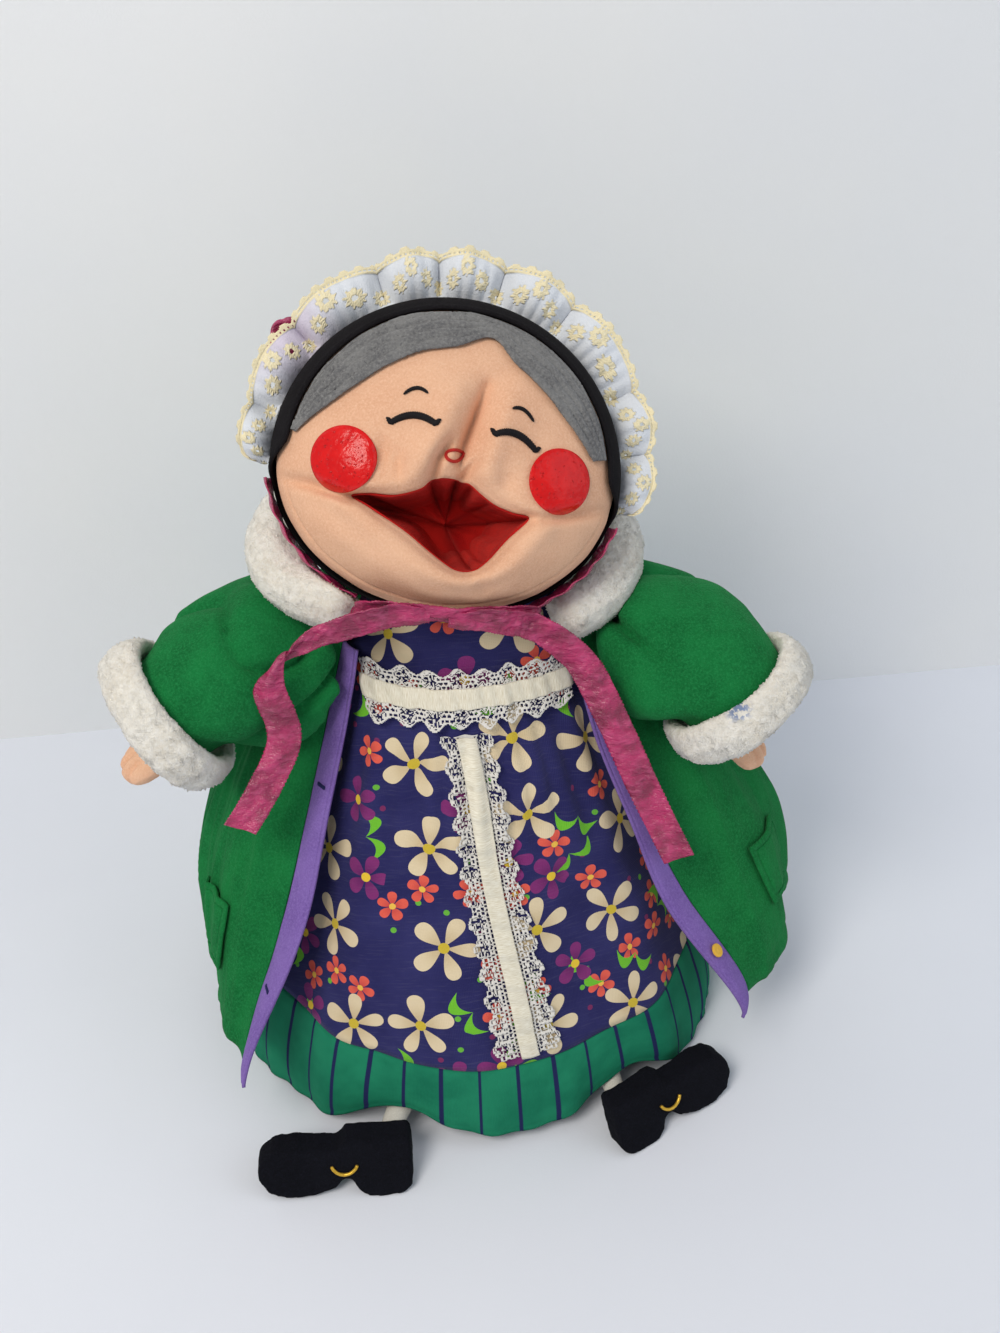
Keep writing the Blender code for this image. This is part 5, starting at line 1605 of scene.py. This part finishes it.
def makeBonnet():
    look = {
        "roughness": 0.97, "colour": tone(22, 20, 23), "dark": tone(16, 14, 17),
        "light": tone(30, 28, 31), "nap": 0.0009, "fibre": 0.0004, "patch": 0.02, "depth": 0.0002,
    }
    black = napCloth("black velvet", look)[0]

    def crownPlace(u, v):
        turn = -2 * math.pi * u
        side = bonnet["bare"] * ease((0.10 - math.sin(turn)) / 0.35)
        polar = blend(bonnet["crown"] + side, math.pi, v)
        gathers = bonnet["crownGather"] * math.sin(
            44 * turn + 3 * v
        ) * ease((v - 0.36) / 0.2) * ease((1 - v) / 0.1)
        piping = bonnet["piping"] * bell(v - 0.012, 0.012)
        return headLocal(polar, turn, head["skinGap"] + gathers + piping)

    def crownHole(u, v):
        return neckHole(headPlace @ crownPlace(u, v))

    wall = layers["felt"] * 0.9
    piece = clothSheet("bonnetCrown", bonnet, crownPlace, black, wall, at=headPlace, hole=crownHole)
    keepPiece(piece, "bonnet_crown")
    look = {"roughness": 0.85, "sockets": {"Sheen Weight": 0.15}, "colour": tone(236, 232, 214)}
    cotton, tree, shader = startMaterial("eyelet lace", look)
    spot = objectPlace(tree)
    worked = put(tree, "ShaderNodeAttribute", attribute_name="mark").outputs["Fac"]
    thread = noiseAt(tree, spot, 0.0007)
    ground = mixTone(tree, thread, tone(212, 218, 228), tone(230, 233, 238))
    cream = mixTone(tree, thread, tone(232, 216, 170), tone(248, 240, 210))
    # painted pink shade: the lace ground turns darker and pink near the rosette, where its shade and pink
    # bounce light fall
    low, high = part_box("bonnet_rosette")
    away = distanceTo(tree, spot, low.lerp(high, 0.5))
    paintedRosetteShade = times(tree, minus(tree, 1.0, smooth(tree, away, 0.008, 0.034)), 0.35)
    colour = mixTone(
        tree, smooth(tree, worked, 0.2, 0.7), mixTone(tree, paintedRosetteShade, ground, tone(196, 150, 196)), cream
    )
    height = plus(tree, times(tree, worked, 1.5), thread)
    finishMaterial(tree, shader, colour, height, 0.0004)
    piece = clothSheet(
        "bonnetRuffle", ruffle, rufflePoint, cotton, ruffle["wall"], at=headPlace, hole=ruffleHole,
        mark=ruffleMark
    )
    keepPiece(piece, "bonnet_ruffle")
    makeRosette()


def satinLook(name, colour, dark, light):
    look = {"roughness": 0.24, "sockets": {"Specular IOR Level": 0.75}, "colour": colour}
    material, tree, shader = startMaterial(name, look)
    spot = objectPlace(tree)
    grain = noiseAt(tree, spot, 0.0007)
    crumple = noiseAt(tree, stretched(tree, spot, (1.0, 0.6, 2.2)), 0.0065, 4.0)
    wide = smooth(tree, noiseAt(tree, spot, 0.014), 0.35, 0.65)
    # painted shade: the dark tone laid in wide soft patches stands for the shaded side of the satin's sheen
    colour = mixTone(tree, wide, dark, colour)
    # painted highlight: the light tone along the crumple noise stands for the satin's sheen streaks; the
    # same noise also raises the bump
    colour = mixTone(tree, times(tree, smooth(tree, crumple, 0.44, 0.72), 0.35), colour, light)
    height = plus(tree, times(tree, crumple, 6.0), times(tree, grain, 0.7))
    finishMaterial(tree, shader, colour, height, 0.00035)
    return material


rosette = {"voxel": 0.0008, "petal": 0.0011, "radius": 0.0085, "sunk": 0.0006}


def makeRosette():  # wound satin petals behind the left of the ruffle
    # the last two tones are the satin's painted shade and painted highlight
    satin = satinLook("pink rosette satin", tone(182, 36, 96), tone(138, 24, 70), tone(228, 96, 150))
    piece = softCopy("bonnet_rosette", "bonnetRosette", satin, rosette["voxel"], 1)
    low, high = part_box("bonnet_rosette")
    middle = (low + high) / 2
    turnBack = headPlace.to_3x3().inverted()

    def petals(spot):
        away = turnBack @ (spot - middle)
        reach, turn = math.hypot(away.x, away.z), math.atan2(away.z, away.x)
        return rosette["petal"] * math.sin(reach / rosette["radius"] * 11 + 2 * turn) - rosette["sunk"]

    pushOut(piece, petals)
    keepPiece(piece, "bonnet_rosette")


cheek = {
    "radius": 0.0135, "left": (-0.0445, -0.0010), "right": (0.0460, 0.0015), "thickness": 0.0007,
    "rings": 26, "around": 72, "rim": 0.0004, "out": 0.0006,
}
stitches = {
    "eyeLeft": ("eye_left", -0.0180, 0.0145, 0.0112, 0.0054, 0.06),
    "eyeRight": ("eye_right", 0.0250, 0.0125, 0.0112, 0.0054, -0.22),
    "browLeft": ("brow_left", -0.0182, 0.0288, 0.0050, 0.0026, 0.15),
    "browRight": ("brow_right", 0.0270, 0.0262, 0.0050, 0.0024, -0.40),
    "radius": 0.0013, "browRadius": 0.0007, "twist": 0.0009, "step": 0.00022, "flick": 0.0034,
}


nose = {
    "halfWidth": 0.0030, "halfHeight": 0.0023, "up": 0.0056, "tip": 0.0018, "radius": 0.0006,
    "length": 0.018,
}


def threadLook(name, dark, light):
    material, tree, shader = startMaterial(name, {"roughness": 0.55, "colour": light})
    spot = objectPlace(tree)
    grain = noiseAt(tree, spot, 0.0004)
    finishMaterial(tree, shader, mixTone(tree, grain, dark, light), grain, 0.0002)
    return material


def stitchedLine(name, pathPoint, outward, radius, length, material, closed=False):
    # a close row of satin stitches: a flat tube whose skin is ribbed across
    around, along = 14, max(24, int(length / stitches["step"]))
    work = bmesh.new()
    bmesh.ops.create_grid(work, x_segments=along, y_segments=around, size=0.5)
    for vert in work.verts:
        u, v = vert.co.x + 0.5, vert.co.y + 0.5
        here = pathPoint(u)
        step = 0.01
        ahead = pathPoint(u + step if closed else min(u + step, 1.0))
        behind = pathPoint(u - step if closed else max(u - step, 0.0))
        axis = (ahead - behind).normalized()
        side = axis.cross(outward).normalized()
        rise = side.cross(axis).normalized()
        taper = 1.0 if closed else math.sqrt(
            max(0.0, 1 - (abs(u * 2 - 1)) ** 10)
        ) * (0.75 + 0.25 * math.sin(math.pi * u))
        rib = 1 + 0.10 * math.sin(2 * math.pi * u * length / stitches["twist"])
        turn = 2 * math.pi * v
        wide = radius * taper * rib
        vert.co = headPlace @ (
            here + side * math.cos(turn) * wide * 1.15 + rise * math.sin(turn) * wide * 0.8
        )
    bmesh.ops.remove_doubles(work, verts=work.verts, dist=sameSpot)
    bmesh.ops.recalc_face_normals(work, faces=work.faces)
    if work.calc_volume(signed=True) < 0:
        bmesh.ops.reverse_faces(work, faces=work.faces)
    return pieceFrom(work, name, material)


def makeFeatures():
    look = {"roughness": 0.25, "sockets": {"Specular IOR Level": 0.30}, "colour": tone(208, 20, 22)}
    red, tree, shader = startMaterial("red vinyl", look)
    spot = objectPlace(tree)
    cloud = smooth(tree, noiseAt(tree, spot, 0.006), 0.3, 0.7)
    bubble = smooth(tree, noiseAt(tree, spot, 0.0016, 2.0), 0.62, 0.75)
    height = plus(tree, times(tree, cloud, 0.5), bubble)
    finishMaterial(tree, shader, mixTone(tree, cloud, tone(204, 12, 16), tone(218, 20, 20)), height, 0.0005)
    cut = {"columns": cheek["around"], "rows": cheek["rings"], "flat": (0.027, 0.027)}
    for word in ("left", "right"):
        x, z = cheek[word]

        def cheekPlace(u, v):
            turn = -2 * math.pi * u
            radius = cheek["radius"] * v
            rim = cheek["rim"] * ease((1 - v) / 0.12)
            return faceLocal(x + radius * math.cos(turn), z + radius * math.sin(turn), cheek["out"] + rim)

        piece = clothSheet("cheek." + word, cut, cheekPlace, red, cheek["thickness"], at=headPlace)
        keepPiece(piece, "cheek_" + word)
    black = threadLook("black thread", tone(12, 11, 13), tone(34, 32, 36))
    outward = Vector((0.0, -1.0, 0.0))
    for name in ("eyeLeft", "eyeRight", "browLeft", "browRight"):
        node, x, z, half, arch, tilt = stitches[name]
        eye = name.startswith("eye")

        def arcPoint(share):
            along = share * 2 - 1
            flick = stitches["flick"] * ease((abs(along) - 0.76) / 0.24) if eye else 0.0
            return faceLocal(
                x + half * along, z + arch * (1 - along**2) + tilt * half * along + flick, 0.0007
            )

        radius = stitches["radius"] if eye else stitches["browRadius"]
        piece = stitchedLine(name, arcPoint, outward, radius, half * 2.2, black)
        keepPiece(piece, node)
    red = threadLook("red thread", tone(150, 26, 24), tone(206, 60, 54))

    def nosePoint(share):
        turn = 2 * math.pi * share
        tip = nose["tip"] * max(0.0, math.cos(turn - 0.5)) ** 3
        x, z = nose["halfWidth"] * math.cos(turn), nose["up"] + nose["halfHeight"] * math.sin(turn)
        return faceLocal(x + tip, z + tip * 0.7, nose["radius"])

    piece = stitchedLine("noseLoop", nosePoint, outward, nose["radius"], nose["length"], red, closed=True)
    keepPiece(piece, "nose")


# Ribbon

ribbon = {"width": 0.015, "bowWidth": 0.011, "rise": 0.0049, "strapPolar": math.radians(93),
    "wave": 0.0008, "wide": 0.0012, "fine": 0.0006, "picot": 0.0003, "picotPitch": 0.0016,
    "straps": (("left", 190.0, 245.0), ("right", -12.0, -60.0))}
bowPath = {
    "line": (
        (-0.0567, -0.0150, 0.2544), (-0.0530, -0.0245, 0.2615), (-0.0400, -0.0310, 0.2635),
        (-0.0140, -0.0320, 0.2570),
        (0.0100, -0.0320, 0.2545), (0.0225, -0.0290, 0.2515), (0.0230, -0.0240, 0.2460),
    ),
    "across": ((0.0, -0.35, 0.94), (0.0, -0.35, 0.94)), "flat": (0.092, 0.011),
}
tailLeft = {
    "line": (
        (-0.0260, -0.0340, 0.2590), (-0.0430, -0.0345, 0.2615), (-0.0680, -0.0305, 0.2550),
        (-0.0880, -0.0270, 0.2440),
        (-0.0970, -0.0270, 0.2290), (-0.0925, -0.0290, 0.2020), (-0.1040, -0.0340, 0.1790),
        (-0.1170, -0.0400, 0.1620),
    ),
    "across": (
        (0.10, -0.30, 1.0), (0.15, -0.30, 1.0), (0.30, -0.15, 1.0), (0.55, -0.10, 0.9),
        (0.95, -0.10, 0.4), (1.00, -0.15, -0.1), (0.95, -0.15, -0.4), (0.95, -0.15, -0.4),
    ),
    "flat": (0.148, 0.015),
}
tailRight = {
    "line": (
        (-0.0180, -0.0335, 0.2560), (0.0060, -0.0335, 0.2530), (0.0240, -0.0320, 0.2450),
        (0.0420, -0.0340, 0.2270),
        (0.0550, -0.0400, 0.2010), (0.0720, -0.0500, 0.1600), (0.0870, -0.0620, 0.1260),
    ),
    "across": (
        (0.05, -0.30, 1.0), (0.10, -0.30, 1.0), (0.40, -0.20, 1.0), (0.80, -0.10, 0.7),
        (1.00, -0.15, 0.3), (1.00, -0.15, 0.35), (1.00, -0.15, 0.35),
    ),
    "flat": (0.176, 0.015),
}


def ribbonPlace(path, width, curl):
    length = path["flat"][0]

    def place(u, v):
        middle = curveAt(path["line"], u)
        across = curveAt(path["across"], u).normalized()
        along = (
            curveAt(path["line"], min(u + 0.01, 1.0)) - curveAt(path["line"], max(u - 0.01, 0.0))
        ).normalized()
        outward = along.cross(across).normalized()
        if outward.y > 0:
            outward = -outward
        reach = (v - 0.5) * width * (0.5 + 0.5 * ease(u / 0.16) if width > ribbon["bowWidth"] else 1.0)
        if v < 0.02 or v > 0.98:
            picot = math.sin(2 * math.pi * u * length / ribbon["picotPitch"])
            reach += math.copysign(ribbon["picot"], v - 0.5) * picot
        wide = noise.noise(Vector((u * length * 110, v * 1.6, width * 90)))
        fine = noise.noise(Vector((u * length * 330, v * 4.0, width * 70)))
        fold = ribbon["wave"] * math.sin(9 * u + 5 * v) + ribbon["wide"] * wide + ribbon["fine"] * fine
        dish = curl * (math.cos(2 * math.pi * (v - 0.5)) + 1) * 0.5
        return middle + across * reach + outward * (fold + dish)

    return place


def makeRibbons():
    # the last two tones are the satin's painted shade and painted highlight
    pink = satinLook("pink satin", tone(182, 34, 96), tone(132, 22, 66), tone(230, 96, 150))
    for name, node, path, width, columns, curl in (
        ("ribbonBow", "ribbon_bow", bowPath, ribbon["bowWidth"], 140, 0.0012),
        ("ribbonTail.left", "ribbon_tail_left", tailLeft, ribbon["width"], 200, 0.0008),
        ("ribbonTail.right", "ribbon_tail_right", tailRight, ribbon["width"], 230, 0.0006),
    ):
        cut = {"columns": columns, "rows": 18, "flat": path["flat"]}
        place = ribbonPlace(path, width, curl)
        piece = clothSheet(name, cut, place, pink, layers["satin"])
        keepPiece(piece, node)
        declareSheet(piece, cutOf(place))
    for word, first, last in ribbon["straps"]:
        cut = {"columns": 120, "rows": 20, "flat": (0.072, ribbon["width"])}
        half = ribbon["width"] / 2 / head["backDepth"] * 0.8

        def strapPlace(u, v, first=first, last=last):
            turn = math.radians(blend(first, last, u))
            dish = 0.0006 * math.cos(math.pi * (v - 0.5)) + 0.0005 * math.sin(31 * u + 4 * v)
            return headLocal(ribbon["strapPolar"] + (v * 2 - 1) * half, turn, ribbon["rise"] + dish)

        piece = clothSheet("ribbonStrap." + word, cut, strapPlace, pink, layers["satin"], at=headPlace)
        keepPiece(piece, "ribbon_strap_" + word)
        declareSheet(piece, cutOf(strapPlace))
    print("Ribbons made")


# Boots and legs

boot = {
    "voxel": 0.0010, "smoothing": 5, "nap": 0.0003, "lump": 0.0006, "legVoxel": 0.0015, "legNap": 0.0005,
    "buckleVoxel": 0.00035,
}


def makeBoots():
    look = {
        "roughness": 0.97, "colour": tone(14, 15, 22), "dark": tone(9, 10, 16),
        "light": tone(21, 22, 31), "speck": tone(70, 72, 86), "speckShare": 0.06, "nap": 0.0010,
        "fibre": 0.0005, "depth": 0.0004,
    }
    felt = napCloth("black boot felt", look)[0]
    shine = {"roughness": 0.34, "sockets": {"Metallic": 0.6}, "colour": tone(214, 170, 50)}
    gold, tree, shader = startMaterial("gold film", shine)
    spot = objectPlace(tree)
    rub = noiseAt(tree, spot, 0.0016)
    finishMaterial(tree, shader, mixTone(tree, rub, tone(196, 150, 40), tone(232, 194, 84)), rub, 0.0001)
    look = {
        "roughness": 0.92, "colour": tone(206, 202, 192), "dark": tone(190, 186, 174),
        "light": tone(220, 217, 208),
        "nap": 0.0008, "fibre": 0.0004, "depth": 0.0002,
    }
    cream = napCloth("stocking cotton", look)[0]

    def bootNap(spot):
        return boot["nap"] * noise.noise(spot * 300) + boot["lump"] * noise.noise(spot * 55)

    def legNap(spot):
        return boot["legNap"] * noise.noise(spot * 140)

    for word in ("left", "right"):
        piece = softCopy("boot_" + word, "boot." + word, felt, boot["voxel"], boot["smoothing"])
        pushOut(piece, bootNap)
        keepPiece(piece, "boot_" + word)
        piece = softCopy("leg_" + word, "leg." + word, cream, boot["legVoxel"], 3)
        pushOut(piece, legNap)
        keepPiece(piece, "leg_" + word)
        piece = softCopy("buckle_" + word, "buckle." + word, gold, boot["buckleVoxel"], 1)
        keepPiece(piece, "buckle_" + word)
    print("Boots made")


addCamera()
addStudio()
makeBody()
makeLace()
makeCoat()
makeArms()
makeHead()
makeRibbons()
makeBoots()
